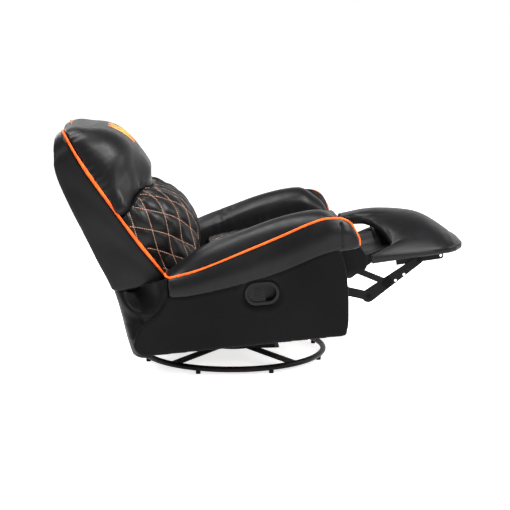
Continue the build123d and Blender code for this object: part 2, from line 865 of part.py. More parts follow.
# A tube along a line of points in a side plane, with smooth bends
def piping_tube(points, y, radius):
    with BuildPart() as made:
        with BuildLine(side_plane(y)) as route:
            FilletPolyline(*points, radius=bend_radii(points))
        with BuildSketch(Plane(origin=route.line @ 0, z_dir=route.line % 0)):
            Circle(radius)
        sweep()
    return made.part


# The largest arc that each corner of a route allows
def bend_radii(points):
    radii = []
    for a, b, c in zip(points, points[1:], points[2:]):
        first = Vector(*b) - Vector(*a)
        second = Vector(*c) - Vector(*b)
        turn = radians(first.get_angle(second))
        radii.append(min(first.length, second.length) * bend_share / tan(turn / 2))
    return radii


arm_groove = piping_tube(piping_points, -piping_side, piping_radius + 2 * seat_gap)
arm_piping = piping_tube(piping_points, -piping_side, piping_radius)
save_pair("arm_pad", arm_pad.part - arm_groove)
save_both("arm_pipings", arm_piping)

# Leather skirt behind the body
skirt_rear_top = panel_rear - skirt_bulge


# Outline of the skirt at one level: a U that opens ahead, with folds along its rear
def skirt_section(front_u, rear_u, front_half, rear_half, fold):
    steps = skirt_folds * 8
    corner = min(skirt_corner, (front_u - rear_u) * skirt_corner_share)
    span = 2 * (rear_half - corner)
    rear = []
    for step in range(steps + 1):
        swing = fold * (1 - cos(2 * pi * skirt_folds * step / steps)) / 2
        rear.append((rear_u - swing, -span / 2 + span * step / steps))
    legs = ((front_u, front_half), (rear_u + corner, rear_half))
    outer = [(u, -y) for u, y in legs] + rear + [(u, y) for u, y in legs[::-1]]
    inner = [(u, skirt_thick - y) for u, y in legs] + [(u + skirt_thick, y) for u, y in rear]
    inner += [(u, y - skirt_thick) for u, y in legs[::-1]]
    with BuildSketch(Plane.XY) as made:
        with BuildLine():
            Polyline(*outer, *inner[::-1], close=True)
        make_face()
    return made.sketch


hem_half = panel_inner - seat_gap
hem_front = panel_rear + 2 * skirt_lap
hem_rear = panel_rear - skirt_lap
knee_fold = skirt_fold * (1 - skirt_knee_share)
knee_height = skirt_hem + (skirt_top - skirt_hem) * skirt_knee_share
knee_front = hem_front + (skirt_front - hem_front) * skirt_knee_share
knee_rear = hem_rear + (skirt_rear_top - hem_rear) * skirt_knee_share
with BuildPart() as rear_skirt:
    with BuildSketch(level_plane(skirt_hem)):
        add(skirt_section(hem_front, hem_rear, hem_half, hem_half, skirt_fold))
    with BuildSketch(level_plane(knee_height)):
        add(skirt_section(knee_front, knee_rear, hem_half, hem_half, knee_fold))
    with BuildSketch(level_plane(skirt_top)):
        add(skirt_section(skirt_front, skirt_rear_top, hem_half, shell_width / 2, skirt_fold / skirt_folds))
    loft(ruled=True)
save("rear_skirt", rear_skirt.part)

# Handle: cup and rim, pull flap with ribs, cable and latch hook
cup_floor = panel_outer - cup_depth
bezel_inner_length = bezel_length - 2 * bezel_rim
bezel_inner_height = bezel_height - 2 * bezel_rim
with BuildPart() as handle_bezel:
    with BuildSketch(side_plane(-panel_outer - seat_gap)):
        handle_slot(bezel_length, bezel_height)
        handle_slot(bezel_inner_length, bezel_inner_height, Mode.SUBTRACT)
    extrude(amount=bezel_proud)
    with BuildSketch(side_plane(-cup_floor)):
        handle_slot(cup_length, cup_height)
        handle_slot(bezel_inner_length, bezel_inner_height, Mode.SUBTRACT)
    extrude(amount=cup_depth + seat_gap)
    with BuildSketch(side_plane(-cup_floor + cup_wall)):
        handle_slot(cup_length, cup_height)
    extrude(amount=cup_wall)
save("handle_bezel", handle_bezel.part)

hinge_u = handle_u - bezel_inner_length / 2 + hinge_inset + bezel_inner_height / 4
flap_low = panel_outer - flap_thick - flap_rib
hinge_y = -(flap_low + flap_thick / 2)
flap_rear = handle_u - bezel_inner_length / 2
flap_chord = bezel_inner_height / 2 - (hinge_u - flap_rear)
pin_half = sqrt((bezel_inner_height / 2) ** 2 - (flap_chord + hinge_radius) ** 2) - pin_gap
with BuildPart() as pull_handle:
    with BuildSketch(side_plane(-flap_low)):
        handle_slot(bezel_inner_length - 2 * side_gap, bezel_inner_height - 2 * side_gap)
        with Locations((flap_rear + flap_length / 2, handle_w)):
            Rectangle(flap_length, bezel_height, mode=Mode.INTERSECT)
    extrude(amount=flap_thick)
    with BuildSketch(side_plane(-flap_low - flap_thick)):
        for rib in range(flap_rib_count):
            spacing = bezel_inner_height / (flap_rib_count + 2)
            rib_w = handle_w + (rib - (flap_rib_count - 1) / 2) * spacing
            with Locations((flap_rear + flap_length * 2 / 3, rib_w)):
                SlotOverall(flap_length / 2, spacing / 2)
    extrude(amount=flap_rib)
    with BuildSketch(level_plane(handle_w - pin_half)):
        with Locations((hinge_u, hinge_y)):
            Circle(hinge_radius)
    extrude(amount=2 * pin_half)
save("pull_handle", pull_handle.part)

latch_inner = plate_outer + side_gap
latch_at = (latch_u, latch_w)
latch_tip = (latch_u + latch_length, latch_w)
with BuildPart() as latch_hook:
    with BuildSketch(side_plane(-latch_inner)):
        strap([latch_at, latch_tip, (latch_tip[0], latch_w + latch_width)], latch_width)
        with Locations(latch_at):
            Circle(rivet_radius + pin_gap, mode=Mode.SUBTRACT)
    extrude(amount=plate_thick - side_gap)
save("latch_hook", latch_hook.part)

with BuildPart() as latch_pin:
    with BuildSketch(side_plane(-plate_outer - seat_gap)):
        with Locations(latch_at):
            Circle(rivet_radius)
    extrude(amount=arm_inner - board_thick - plate_outer - 2 * seat_gap)
save("latch_pin", latch_pin.part)

cable_low = latch_inner + plate_thick - side_gap + seat_gap
cable_top = cup_floor - cup_wall - seat_gap
cable_turn_out = (cable_top + cable_low) / 2 + post_side / 2
cable_turn_in = (cable_top + cable_low) / 2 - post_side / 2
with BuildPart() as release_cable:
    cable_points = [
        body_point(handle_u, -cable_top, handle_w),
        body_point(handle_u, -cable_turn_out, handle_w),
        body_point(cable_exit[0], -cable_turn_in, cable_exit[1]),
        body_point(cable_exit[0], -cable_low, cable_exit[1]),
    ]
    cable_radii = bend_radii(cable_points)
    with BuildLine() as cable_route:
        FilletPolyline(*cable_points, radius=cable_radii)
    with BuildSketch(Plane(origin=cable_route.line @ 0, z_dir=cable_route.line % 0)):
        Circle(cable_radius)
    sweep()
print("length of the release cable", round(sum(edge.length for edge in cable_route.line.edges())))
save("release_cable", release_cable.part)

# Back: brackets, wooden frame, webbing, shell, cushions and piping
shell_rear_shares = [(0, 0.176), (0.021, 0.204), (0.06, 0.305), (0.21, 0.535), (0.346, 0.766), (0.463, 0.866)]
shell_crest_shares = [(0.463, 0.866), (0.59, 0.935), (0.668, 0.966), (0.765, 0.983), (0.865, 0.985)]
shell_foot_shares = [(0.865, 0.079), (0.595, 0.083), (0.365, 0.106), (0.172, 0.133), (0, 0.176)]
shell_rear = shell_front - shell_depth * shell_foot_shares[0][0]


# The body of the back, with its walls drawn in by an amount
def back_block(inset):
    size = (shell_depth - inset, shell_height - 2 * inset)
    corner = (shell_rear + inset, inset)
    half = shell_width / 2 - inset
    crest = shared(shell_crest_shares, corner, *size)
    foot = shared(shell_foot_shares, corner, *size)
    with BuildPart() as made:
        with BuildSketch(side_plane(half, back_at, back_angle)):
            with BuildLine():
                Spline(*shared(shell_rear_shares, corner, *size))
                Spline(*crest)
                Line(crest[-1], foot[0])
                Spline(*foot)
            make_face()
        extrude(amount=2 * half)
        top = crest[-1][1]
        with BuildSketch(cross_plane(shell_rear - overrun, back_at, back_angle)) as front:
            with Locations((0, top / 2)):
                Rectangle(2 * half, top)
            fillet(front.vertices().group_by(Axis.Y)[-1], shell_corner - inset)
        extrude(amount=shell_depth + 2 * overrun, mode=Mode.INTERSECT)
    return made.part


shell_top = shell_height * shell_crest_shares[-1][1]
shell_foot = shell_height * shell_foot_shares[0][1]


# A tube along the outline of the back as seen from the front
def outline_tube(radius):
    side = shell_width / 2
    rise = shell_top - shell_corner
    run = side - shell_corner
    bow = shell_corner * sqrt(1 / 2)
    with BuildPart() as made:
        with BuildLine(cross_plane(shell_front + seat_gap / 2, back_at, back_angle)) as route:
            Line((-side, shell_foot + piping_radius), (-side, rise))
            ThreePointArc((-side, rise), (-run - bow, rise + bow), (-run, shell_top))
            Line((-run, shell_top), (run, shell_top))
            ThreePointArc((run, shell_top), (run + bow, rise + bow), (side, rise))
            Line((side, rise), (side, shell_foot + piping_radius))
        with BuildSketch(Plane(origin=route.line @ 0, z_dir=route.line % 0)):
            Circle(radius)
        sweep()
    return made.part


back_groove = outline_tube(piping_radius + seat_gap)
save("back_piping", outline_tube(piping_radius))

with BuildPart() as back_shell:
    add(back_block(0))
    add(back_block(shell_wall), mode=Mode.SUBTRACT)
    opening = shell_depth * shell_opening_share
    with BuildSketch(side_plane(shell_width / 2 - shell_wall, back_at, back_angle)):
        with Locations((shell_front + shell_wall - opening / 2, shell_foot)):
            Rectangle(opening, 2 * shell_foot)
    extrude(amount=shell_width - 2 * shell_wall, mode=Mode.SUBTRACT)
    add(back_groove, mode=Mode.SUBTRACT)
save("back_shell", back_shell.part)

upright_inner = link_outer + seat_gap
upright_outer = shell_width / 2 - shell_wall - seat_gap
upright_front = shell_front - webbing_thick - seat_gap
upright_mid = upright_front - upright_depth / 2
with BuildPart() as back_upright:
    with BuildSketch(side_plane(-upright_inner, back_at, back_angle)):
        with Locations((upright_mid, (upright_foot + upright_top) / 2)):
            Rectangle(upright_depth, upright_top - upright_foot)
    extrude(amount=upright_outer - upright_inner)
save_both("back_uprights", back_upright.part)

with BuildPart() as back_rails:
    foot_half = link_outer - plate_thick - seat_gap
    rail_half = upright_inner - seat_gap
    for rail_q, half in (
        (upright_foot + back_rail_height / 2, foot_half),
        ((upright_foot + upright_top) / 2, rail_half),
        (upright_top - back_rail_height / 2, rail_half),
    ):
        with BuildSketch(side_plane(half, back_at, back_angle)):
            with Locations((upright_mid, rail_q)):
                Rectangle(back_rail_thick, back_rail_height)
        extrude(amount=2 * half)
save("back_rails", back_rails.part)

with BuildPart() as back_webbing:
    with BuildSketch(cross_plane(upright_front + seat_gap / 2, back_at, back_angle)):
        for band in range(webbing_count):
            share = (band + 1) / (webbing_count + 1)
            with Locations((0, upright_foot + (upright_top - upright_foot) * share)):
                Rectangle(2 * upright_outer, webbing_width)
    extrude(amount=webbing_thick)
save("back_webbing", back_webbing.part)

with BuildPart() as back_bracket:
    with BuildSketch(side_plane(-link_outer + plate_thick, back_at, back_angle)):
        strap([(0, 0), (0, bracket_reach)], bracket_width)
        Circle(recline_pin_radius + pin_gap, mode=Mode.SUBTRACT)
    extrude(amount=plate_thick)
save_both("back_brackets", back_bracket.part)

# Cushions of the back: sections up the back, each as height, crown and half width
head_shares = [
    (0.0, 0.86, 0.965),
    (0.23, 0.974, 0.995),
    (0.38, 1.0, 1.0),
    (0.54, 0.99, 1.0),
    (0.68, 0.9, 0.985),
    (0.82, 0.65, 0.95),
    (0.91, 0.41, 0.89),
    (0.97, 0.24, 0.82),
    (1.0, 0.13, 0.72),
]
lumbar_shares = [
    (0.0, 0.722, 0.809),
    (0.172, 0.92, 0.82),
    (0.392, 0.995, 0.914),
    (0.67, 1.0, 0.994),
    (0.88, 0.88, 0.994),
    (1.0, 0.722, 0.975),
]


# A plump cushion on the front of the back
def back_cushion(stations, foot, height, crown, half, drop):
    base = shell_front + seat_gap
    with BuildPart() as made:
        for rise, plump, wide in stations:
            peak = base + plump * crown - drop
            side = wide * half
            shoulder = (side * shoulder_shares[0], base + (peak - base) * shoulder_shares[1])
            flank = (side * flank_shares[0], base + (peak - base) * flank_shares[1])
            with BuildSketch(level_plane(foot + rise * height, back_at, back_angle)):
                with BuildLine():
                    Line((base, side), (base, -side))
                    ThreePointArc((base, -side), (flank[1], -flank[0]), (shoulder[1], -shoulder[0]))
                    ThreePointArc((shoulder[1], -shoulder[0]), (peak, 0), (shoulder[1], shoulder[0]))
                    ThreePointArc((shoulder[1], shoulder[0]), (flank[1], flank[0]), (base, side))
                make_face()
        loft()
    return made.part


cushion_half = shell_width / 2 - 2 * seat_gap
with BuildPart() as head_cushion:
    add(back_cushion(head_shares, head_foot, head_height, head_crown, cushion_half, 0))
    add(back_groove, mode=Mode.SUBTRACT)
save("head_cushion", head_cushion.part)

lumbar_low = back_cushion(lumbar_shares, lumbar_foot, lumbar_height, lumbar_crown, cushion_half, channel_depth)
quilt_height = lumbar_height * quilt_height_share
quilt_foot = lumbar_foot + (lumbar_height - quilt_height) / 2
lumbar_plane = level_plane(0, from_frame(shell_front, quilt_foot, back_at, back_angle), back_angle - right_angle)
quilt_width = shell_width * quilt_width_share
lumbar_slabs = diamond_slabs(lumbar_plane, -quilt_height, quilt_width, lumbar_crown + overrun)
with BuildPart() as lumbar_cushion:
    add(back_cushion(lumbar_shares, lumbar_foot, lumbar_height, lumbar_crown, cushion_half, 0))
    add(lumbar_slabs - lumbar_low, mode=Mode.SUBTRACT)
    add(back_groove, mode=Mode.SUBTRACT)
save("lumbar_cushion", lumbar_cushion.part)

# Footrest: board, bars, domed pad with wings, bridging tongue and lower sheet
board_half = bar_outer + torque_tube_radius
with BuildPart() as footrest_board:
    with BuildSketch(level_plane(0, pad_at, pad_tilt)):
        with Locations((board_start + board_length / 2, 0)):
            RectangleRounded(board_length, 2 * board_half, post_side)
    extrude(amount=board_height)
save("footrest_board", footrest_board.part)

with BuildPart() as footrest_bar:
    with BuildSketch(side_plane(-bar_outer + plate_thick, pad_at, pad_tilt)):
        with BuildLine():
            l1 = Line((bar_start, -seat_gap), (bar_start + bar_length, -seat_gap))
            l2 = RadiusArc(l1 @ 1, (bar_start + bar_length, -bar_height), bar_height / 2)
            l3 = Line(l2 @ 1, (bar_start, -bar_height))
            Line(l3 @ 1, l1 @ 0)
        make_face()
        with Locations((ankle_along, -ankle_drop)):
            Circle(rivet_radius + pin_gap, mode=Mode.SUBTRACT)
        with Locations((bar_start + bar_length, -bar_height / 2)):
            Circle(link_hole, mode=Mode.SUBTRACT)
    extrude(amount=plate_thick)
save_both("footrest_bars", footrest_bar.part)

# Sections along the pad, each as place, half width, side height and crown height
pad_shares = [
    (0.204, 0.985, 0.22, 1.08),
    (0.357, 1.0, 0.205, 1.04),
    (0.485, 1.0, 0.19, 0.967),
    (0.6, 1.0, 0.18, 0.887),
    (0.69, 0.99, 0.18, 0.787),
    (0.77, 0.965, 0.185, 0.62),
    (0.855, 0.89, 0.19, 0.407),
    (0.93, 0.73, 0.155, 0.215),
    (0.972, 0.5, 0.11, 0.127),
]
pad_foot = board_height + seat_gap
pad_half = pad_width / 2
with BuildPart() as footrest_pad:
    for along, wide, edge, crest in pad_shares:
        half = wide * pad_half
        side = edge * pad_crown
        with BuildSketch(cross_plane(along * pad_length, pad_at, pad_tilt)):
            with BuildLine():
                Polyline((-half, side), (-half, pad_foot), (half, pad_foot), (half, side))
                ThreePointArc((half, side), (0, crest * pad_crown), (-half, side))
            make_face()
    loft()
    dome_start = pad_shares[0][0] * pad_length
    wing_half = pad_shares[0][1] * pad_half
    with BuildSketch(level_plane(pad_foot, pad_at, pad_tilt)):
        with BuildLine():
            Line((wing_start, wing_half), (dome_start, wing_half))
            Line((dome_start, wing_half), (dome_start, -wing_half))
            Line((dome_start, -wing_half), (wing_start, -wing_half))
            ThreePointArc((wing_start, -wing_half), (dome_start - side_gap, 0), (wing_start, wing_half))
        make_face()
    extrude(amount=pad_shares[0][2] * pad_crown - pad_foot)
save("footrest_pad", footrest_pad.part)

# Sections along the tongue, each as place, half width, top centre, top side, under centre and under side
tongue_shares = [
    (-0.118, 0.187, 1.047, 0.993, 0.9, 0.87),
    (0.055, 0.243, 1.087, 1.0, 0.92, 0.813),
    (0.148, 0.373, 1.087, 0.92, 0.9, 0.727),
    (0.203, 0.56, 1.075, 0.747, 0.87, 0.587),
]
with BuildPart() as footrest_tongue:
    for along, wide, top_mid, top_side, low_mid, low_side in tongue_shares:
        half = wide * pad_half
        high = top_side * pad_crown
        low = low_side * pad_crown
        with BuildSketch(cross_plane(along * pad_length, pad_at, pad_tilt)):
            with BuildLine():
                ThreePointArc((-half, high), (0, top_mid * pad_crown), (half, high))
                Line((half, high), (half, low))
                ThreePointArc((half, low), (0, low_mid * pad_crown), (-half, low))
                Line((-half, low), (-half, high))
            make_face()
    loft()
save("footrest_tongue", footrest_tongue.part)

sheet_front = from_frame(board_start - 2 * side_gap, board_height - side_gap, pad_at, pad_tilt)
sheet_rear = (front_rail_ahead + board_thick + seat_gap, front_rail_top - front_board_drop + board_thick)
sheet_sag = ((sheet_rear[0] + sheet_front[0]) / 2, (sheet_rear[1] + sheet_front[1]) / 2 - sheet_thick * 2)
with BuildPart() as lower_sheet:
    with BuildSketch(side_plane(sheet_width / 2)):
        with BuildLine():
            ThreePointArc(sheet_rear, sheet_sag, sheet_front)
            Line(sheet_front, (sheet_front[0], sheet_front[1] - sheet_thick))
            ThreePointArc(
                (sheet_front[0], sheet_front[1] - sheet_thick),
                (sheet_sag[0], sheet_sag[1] - sheet_thick),
                (sheet_rear[0], sheet_rear[1] - sheet_thick),
            )
            Line((sheet_rear[0], sheet_rear[1] - sheet_thick), sheet_rear)
        make_face()
    extrude(amount=sheet_width)
save("lower_sheet", lower_sheet.part)
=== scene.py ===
import json
import math

import bmesh
import bpy
import numpy as np
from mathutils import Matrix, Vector
from mathutils.bvhtree import BVHTree


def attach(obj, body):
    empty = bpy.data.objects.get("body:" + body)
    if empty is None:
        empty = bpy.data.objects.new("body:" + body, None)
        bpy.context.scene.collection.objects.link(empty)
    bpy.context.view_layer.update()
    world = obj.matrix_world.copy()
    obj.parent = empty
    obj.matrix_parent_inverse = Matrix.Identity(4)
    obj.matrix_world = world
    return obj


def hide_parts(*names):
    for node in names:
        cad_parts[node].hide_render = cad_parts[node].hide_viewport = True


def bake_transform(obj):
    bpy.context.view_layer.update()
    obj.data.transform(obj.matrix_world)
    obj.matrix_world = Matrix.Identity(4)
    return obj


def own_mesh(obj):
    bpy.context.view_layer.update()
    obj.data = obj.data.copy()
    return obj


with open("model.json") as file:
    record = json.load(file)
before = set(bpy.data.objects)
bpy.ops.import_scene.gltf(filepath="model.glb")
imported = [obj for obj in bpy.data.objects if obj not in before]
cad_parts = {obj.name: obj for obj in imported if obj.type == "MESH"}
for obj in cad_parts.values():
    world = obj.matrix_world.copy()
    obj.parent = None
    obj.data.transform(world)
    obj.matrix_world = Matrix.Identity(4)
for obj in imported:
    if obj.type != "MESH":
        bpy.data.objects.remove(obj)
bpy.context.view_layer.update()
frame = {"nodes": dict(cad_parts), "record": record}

print("frame loaded")

# The body leans back about a point on the rocker pivot; the back and the footrest lean further.
# A place in one of these tilted frames is given as ahead, across and up.
lean = math.radians(5.0)
pivotHeight = 0.15


def bodyPoint(u, y, w):
    up = w - pivotHeight
    c, s = math.cos(lean), math.sin(lean)
    return Vector((u * c - up * s, y, pivotHeight + u * s + up * c))


def makePlace(u, w, tilt):  # a tilted frame: its origin, and its angle from the floor
    return {"at": np.array(bodyPoint(u, 0.0, w)), "angle": lean + math.radians(tilt)}


bodyPlace = makePlace(0.0, 0.0, 0.0)
backPlace = makePlace(-0.25, 0.33, 30.0)
padPlace = makePlace(0.515, 0.35, 2.5)


def turned(x, z, angle):
    c, s = math.cos(angle), math.sin(angle)
    return x * c - z * s, x * s + z * c


def toLocal(points, place):
    x, y, z = (points - place["at"]).T
    ahead, up = turned(x, z, -place["angle"])
    return ahead, y, up


def toWorld(ahead, across, up, place):
    x, z = turned(ahead, up, place["angle"])
    return np.stack([x, across, z], -1) + place["at"]


# Tools for meshes
def readRows(rows, field):  # three numbers for each row
    values = np.empty(len(rows) * 3)
    rows.foreach_get(field, values)
    return values.reshape(-1, 3)


def readPoints(piece):
    return readRows(piece.data.vertices, "co")


def readNormals(piece):
    return readRows(piece.data.vertex_normals, "vector")


def writePoints(piece, points):
    piece.data.vertices.foreach_set("co", points.astype(np.float32).ravel())
    piece.data.update()


def local(piece, place):
    return toLocal(readPoints(piece), place)


def setLocal(piece, ahead, across, up, place):
    writePoints(piece, toWorld(ahead, across, up, place))


def newPiece(name, bm, smooth=True):
    mesh = bpy.data.meshes.new(name)
    bm.to_mesh(mesh)
    bm.free()
    if smooth:
        mesh.shade_smooth()
    piece = bpy.data.objects.new(name, mesh)
    bpy.context.scene.collection.objects.link(piece)
    return piece


def applyModifiers(piece):
    bpy.context.view_layer.update()
    shape = bpy.data.meshes.new_from_object(piece.evaluated_get(bpy.context.evaluated_depsgraph_get()))
    piece.modifiers.clear()
    piece.data = shape
    shape.shade_smooth()
    return piece


relaxPulls = [0.5, -0.52]  # in and out again, so that nothing shrinks


def relax(piece, rounds):  # evens the surface out
    points = readPoints(piece)
    edges = np.empty(len(piece.data.edges) * 2, dtype=np.int32)
    piece.data.edges.foreach_get("vertices", edges)
    a, b = edges[0::2], edges[1::2]
    count = np.maximum(np.bincount(edges, minlength=len(points)), 1)
    for pull in relaxPulls * rounds:
        mean = [
            (np.bincount(a, row[b], len(points)) + np.bincount(b, row[a], len(points))) / count
            for row in points.T
        ]
        points = points + pull * (np.stack(mean, 1) - points)
    writePoints(piece, points)
    return piece


def nodeMesh(*nodes):  # the solids of some nodes, with their points joined
    bm = bmesh.new()
    for node in nodes:
        bm.from_mesh(frame["nodes"][node].data)
    bmesh.ops.remove_doubles(bm, verts=bm.verts, dist=0.00001)
    return bm


def softCopy(name, node, voxel, rounds=4):  # an even, rounded mesh of a node's solid
    bm = nodeMesh(node)
    bmesh.ops.recalc_face_normals(bm, faces=bm.faces)
    piece = newPiece(name, bm)
    piece.data.materials.clear()
    remesh = piece.modifiers.new("Remesh", "REMESH")
    remesh.mode = "VOXEL"
    remesh.voxel_size = voxel
    applyModifiers(piece)
    return relax(piece, rounds)


def divide(piece):
    divider = piece.modifiers.new("Divide", "SUBSURF")
    divider.levels = divider.render_levels = 1
    return applyModifiers(piece)


def thicken(piece, thick):
    thickener = piece.modifiers.new("Thick", "SOLIDIFY")
    thickener.thickness = thick
    thickener.offset = 0
    return applyModifiers(piece)


clothRun = dict(steps=20, holds=(0.35, 0.7, 1.0))
clothSettings = dict(
    quality=4, mass=0.4, tension_stiffness=12, compression_stiffness=12, shear_stiffness=8, bending_stiffness=1.5,
    use_pressure=True, vertex_group_mass="sewn",
)


def inflate(piece, pressure, cap, pinned):  # a short cloth run fills the cover; pinned is 1 where it is sewn down
    scene = bpy.context.scene
    rest = readPoints(piece)
    group = piece.vertex_groups.new(name="sewn")
    for weight in clothRun["holds"]:
        chosen = np.nonzero(pinned >= weight - 0.01)[0].tolist()
        if chosen:
            group.add(chosen, weight, "REPLACE")
    cloth = piece.modifiers.new("Cloth", "CLOTH")
    for key, value in clothSettings.items():
        setattr(cloth.settings, key, value)
    cloth.settings.uniform_pressure_force = pressure
    cloth.settings.effector_weights.gravity = 0
    cloth.point_cache.frame_start, cloth.point_cache.frame_end = 1, clothRun["steps"]
    for step in range(1, clothRun["steps"] + 1):
        scene.frame_set(step)
    shown = piece.evaluated_get(bpy.context.evaluated_depsgraph_get())
    shift = readRows(shown.data.vertices, "co") - rest
    length = np.linalg.norm(shift, axis=1, keepdims=True)
    shift *= np.minimum(1.0, cap / np.maximum(length, 1e-9))
    shift *= (1 - np.clip(pinned, 0, 1))[:, None]
    piece.modifiers.clear()
    piece.vertex_groups.clear()
    scene.frame_set(1)
    writePoints(piece, rest + shift)
    return piece


def push(piece, amount):  # moves each point along its normal
    writePoints(piece, readPoints(piece) + readNormals(piece) * amount[:, None])
    return piece


def mirrorCopy(piece, name):
    bm = bmesh.new()
    bm.from_mesh(piece.data)
    bmesh.ops.scale(bm, verts=bm.verts, vec=(1, -1, 1))
    bmesh.ops.reverse_faces(bm, faces=bm.faces)
    return newPiece(name, bm)


def skinRings(bm, rings, closed=True):  # joins each ring of points to the next
    for low, high in zip(rings[:-1], rings[1:]):
        for k in range(len(low)):
            after = (k + 1) % len(low)
            bm.faces.new((low[k], low[after], high[after], high[k]))
    if closed:
        bm.faces.new(rings[0][::-1])
        bm.faces.new(rings[-1])


def roundRing(bm, at, radius, up, over, count):
    angles = np.arange(count) * 2 * math.pi / count
    return [bm.verts.new(at + radius * (up * math.cos(a) + over * math.sin(a))) for a in angles]


def treeOf(piece):
    return BVHTree.FromPolygons([v.co for v in piece.data.vertices], [p.vertices for p in piece.data.polygons])


def ease(value, low, high):
    t = np.clip((value - low) / (high - low), 0, 1)
    return t * t * (3 - 2 * t)


def within(p, y, q, limits):  # 1 inside some limits ahead, across and up; a pair that runs down fades out
    share = 1.0
    for axis, value in (("ahead", p), ("wide", np.abs(y)), ("up", q)):
        for pair in limits.get(axis, ()):
            share = share * ease(value, *pair)
    return share


def bell(value, width):
    return np.exp(-(value / width) ** 2)


def ripple(at, pitch, sway, swayPitch):  # waves that bunch up and spread out again
    return np.sin(at * pitch + sway * np.sin(at * swayPitch))


def softLine(at, places, values, width):  # a table read with its corners rounded
    return sum(np.interp(at + k * width / 3, places, values) for k in range(-3, 4)) / 7


def edgeLine(u, w, chosen, lowest=True):  # the lowest or highest chosen points at each place along
    step = 0.012
    found = {}
    for number, height in zip(np.round(u[chosen] / step).astype(int), w[chosen]):
        if number not in found or (height < found[number]) == lowest:
            found[number] = height
    keys = sorted(found)
    return np.interp(u, np.array(keys) * step, np.array([found[key] for key in keys]))


# Colours and shader nodes
def linear(text):
    parts = [int(text[i:i + 2], 16) / 255 for i in (1, 3, 5)]
    return tuple(c / 12.92 if c <= 0.04045 else ((c + 0.055) / 1.055) ** 2.4 for c in parts) + (1.0,)


def addNode(tree, kind, values=None, **settings):  # a node with its settings, its values and its links
    made = tree.nodes.new(kind)
    for key, value in settings.items():
        setattr(made, key, value)
    for key, value in (values or {}).items():
        if isinstance(value, bpy.types.NodeSocket):
            tree.links.new(value, made.inputs[key])
        else:
            made.inputs[key].default_value = value
    return made


def newMaterial(name):
    material = bpy.data.materials.new(name)
    material.use_nodes = True
    tree = material.node_tree
    return material, tree, tree.nodes["Principled BSDF"]


def placeIn(tree):
    return addNode(tree, "ShaderNodeTexCoord").outputs["Object"]


def noiseIn(tree, place, scale, detail, **more):
    values = {"Vector": place, "Scale": scale, "Detail": detail, **more}
    return addNode(tree, "ShaderNodeTexNoise", values).outputs["Fac"]


def mapBetween(tree, value, fromLow, fromHigh, toLow, toHigh):
    limits = {"From Min": fromLow, "From Max": fromHigh, "To Min": toLow, "To Max": toHigh}
    return addNode(tree, "ShaderNodeMapRange", {"Value": value, **limits}).outputs["Result"]


def paint(tree, shader, factor, colours, limits=(0.0, 1.0)):
    ramp = addNode(tree, "ShaderNodeValToRGB", {"Fac": factor})
    for element, colour, position in zip(ramp.color_ramp.elements, colours, limits):
        element.color, element.position = linear(colour), position
    tree.links.new(ramp.outputs["Color"], shader.inputs["Base Color"])


noiseMiddle = (0.3, 0.7)  # where nearly all of a noise lies


def roughen(tree, shader, factor, rough):
    tree.links.new(mapBetween(tree, factor, *noiseMiddle, *rough), shader.inputs["Roughness"])


def emboss(tree, shader, height, depth, strength, **more):
    bump = addNode(tree, "ShaderNodeBump", {"Height": height, "Distance": depth, "Strength": strength, **more})
    tree.links.new(bump.outputs["Normal"], shader.inputs["Normal"])
    return bump.outputs["Normal"]


# PU-coated leather cloth: a soft broad shine, fine embossed grain, faint creasing
leather = dict(
    grain=0.0022, grainDepth=0.0002, grainStrength=0.6,  # real grain is about 0.8 mm; coarser so that it shows
    crease=0.03, creaseDepth=0.0008, creaseStrength=0.3, creaseDetail=5.0, creaseRoughness=0.55,
    patchScale=4.0, patchDetail=2.0, patchBetween=(0.3, 0.75), smoother=0.05, rougher=0.06,
)


def makeLeather(name, colours, rough, shine):
    material, tree, shader = newMaterial(name)
    place = placeIn(tree)
    grain = {"Vector": place, "Scale": 1 / leather["grain"]}
    cells = addNode(tree, "ShaderNodeTexVoronoi", grain, feature="SMOOTH_F1").outputs["Distance"]
    creases = noiseIn(tree, place, 1 / leather["crease"], leather["creaseDetail"], Roughness=leather["creaseRoughness"])
    patches = noiseIn(tree, place, leather["patchScale"], leather["patchDetail"])
    paint(tree, shader, patches, colours, leather["patchBetween"])
    roughen(tree, shader, creases, (rough - leather["smoother"], rough + leather["rougher"]))
    low = emboss(tree, shader, creases, leather["creaseDepth"], leather["creaseStrength"])
    emboss(tree, shader, cells, leather["grainDepth"], leather["grainStrength"], Normal=low)
    shader.inputs["Specular IOR Level"].default_value = shine
    return material


coverLeather = makeLeather("coatedLeather", ("#0C0C0D", "#141415"), rough=0.36, shine=0.13)
# Painted shade: the same coated leather as the cover, with darker colours and less shine, for the side panels, skirt
# and lower sheet, which lie in shade low on the body
shadedPanelLeather = makeLeather("coatedLeatherShadedPanel", ("#080809", "#0D0D0E"), rough=0.42, shine=0.05)


# The other finishes. One noise varies colour and roughness, given by its scale and detail;
# another gives the relief, with its depth and strength besides
def makeFinish(
    name, colours, rough, tone, relief, toneBetween=noiseMiddle, shine=0.5, metal=0.0, stretch=None, bend=0.0
):
    material, tree, shader = newMaterial(name)
    place = placeIn(tree)
    if stretch:
        place = addNode(tree, "ShaderNodeMapping", {"Vector": place, "Scale": stretch}).outputs["Vector"]
    shade = noiseIn(tree, place, *tone, Distortion=bend)
    paint(tree, shader, shade, colours, toneBetween)
    roughen(tree, shader, shade, rough)
    scale, detail, depth, strength = relief
    emboss(tree, shader, noiseIn(tree, place, scale, detail, Distortion=bend), depth, strength)
    shader.inputs["Metallic"].default_value = metal
    shader.inputs["Specular IOR Level"].default_value = shine
    return material


# Orange coated cord: smooth, slightly glossy, a little paler where it is worn
cordLook = dict(tone=(35.0, 4.0), toneBetween=(0.35, 0.7), relief=(35.0, 4.0, 0.0004, 0.4), shine=0.25)
pipingCord = makeFinish("orangePipingCord", ("#DA4A02", "#EC6008"), (0.34, 0.46), **cordLook)

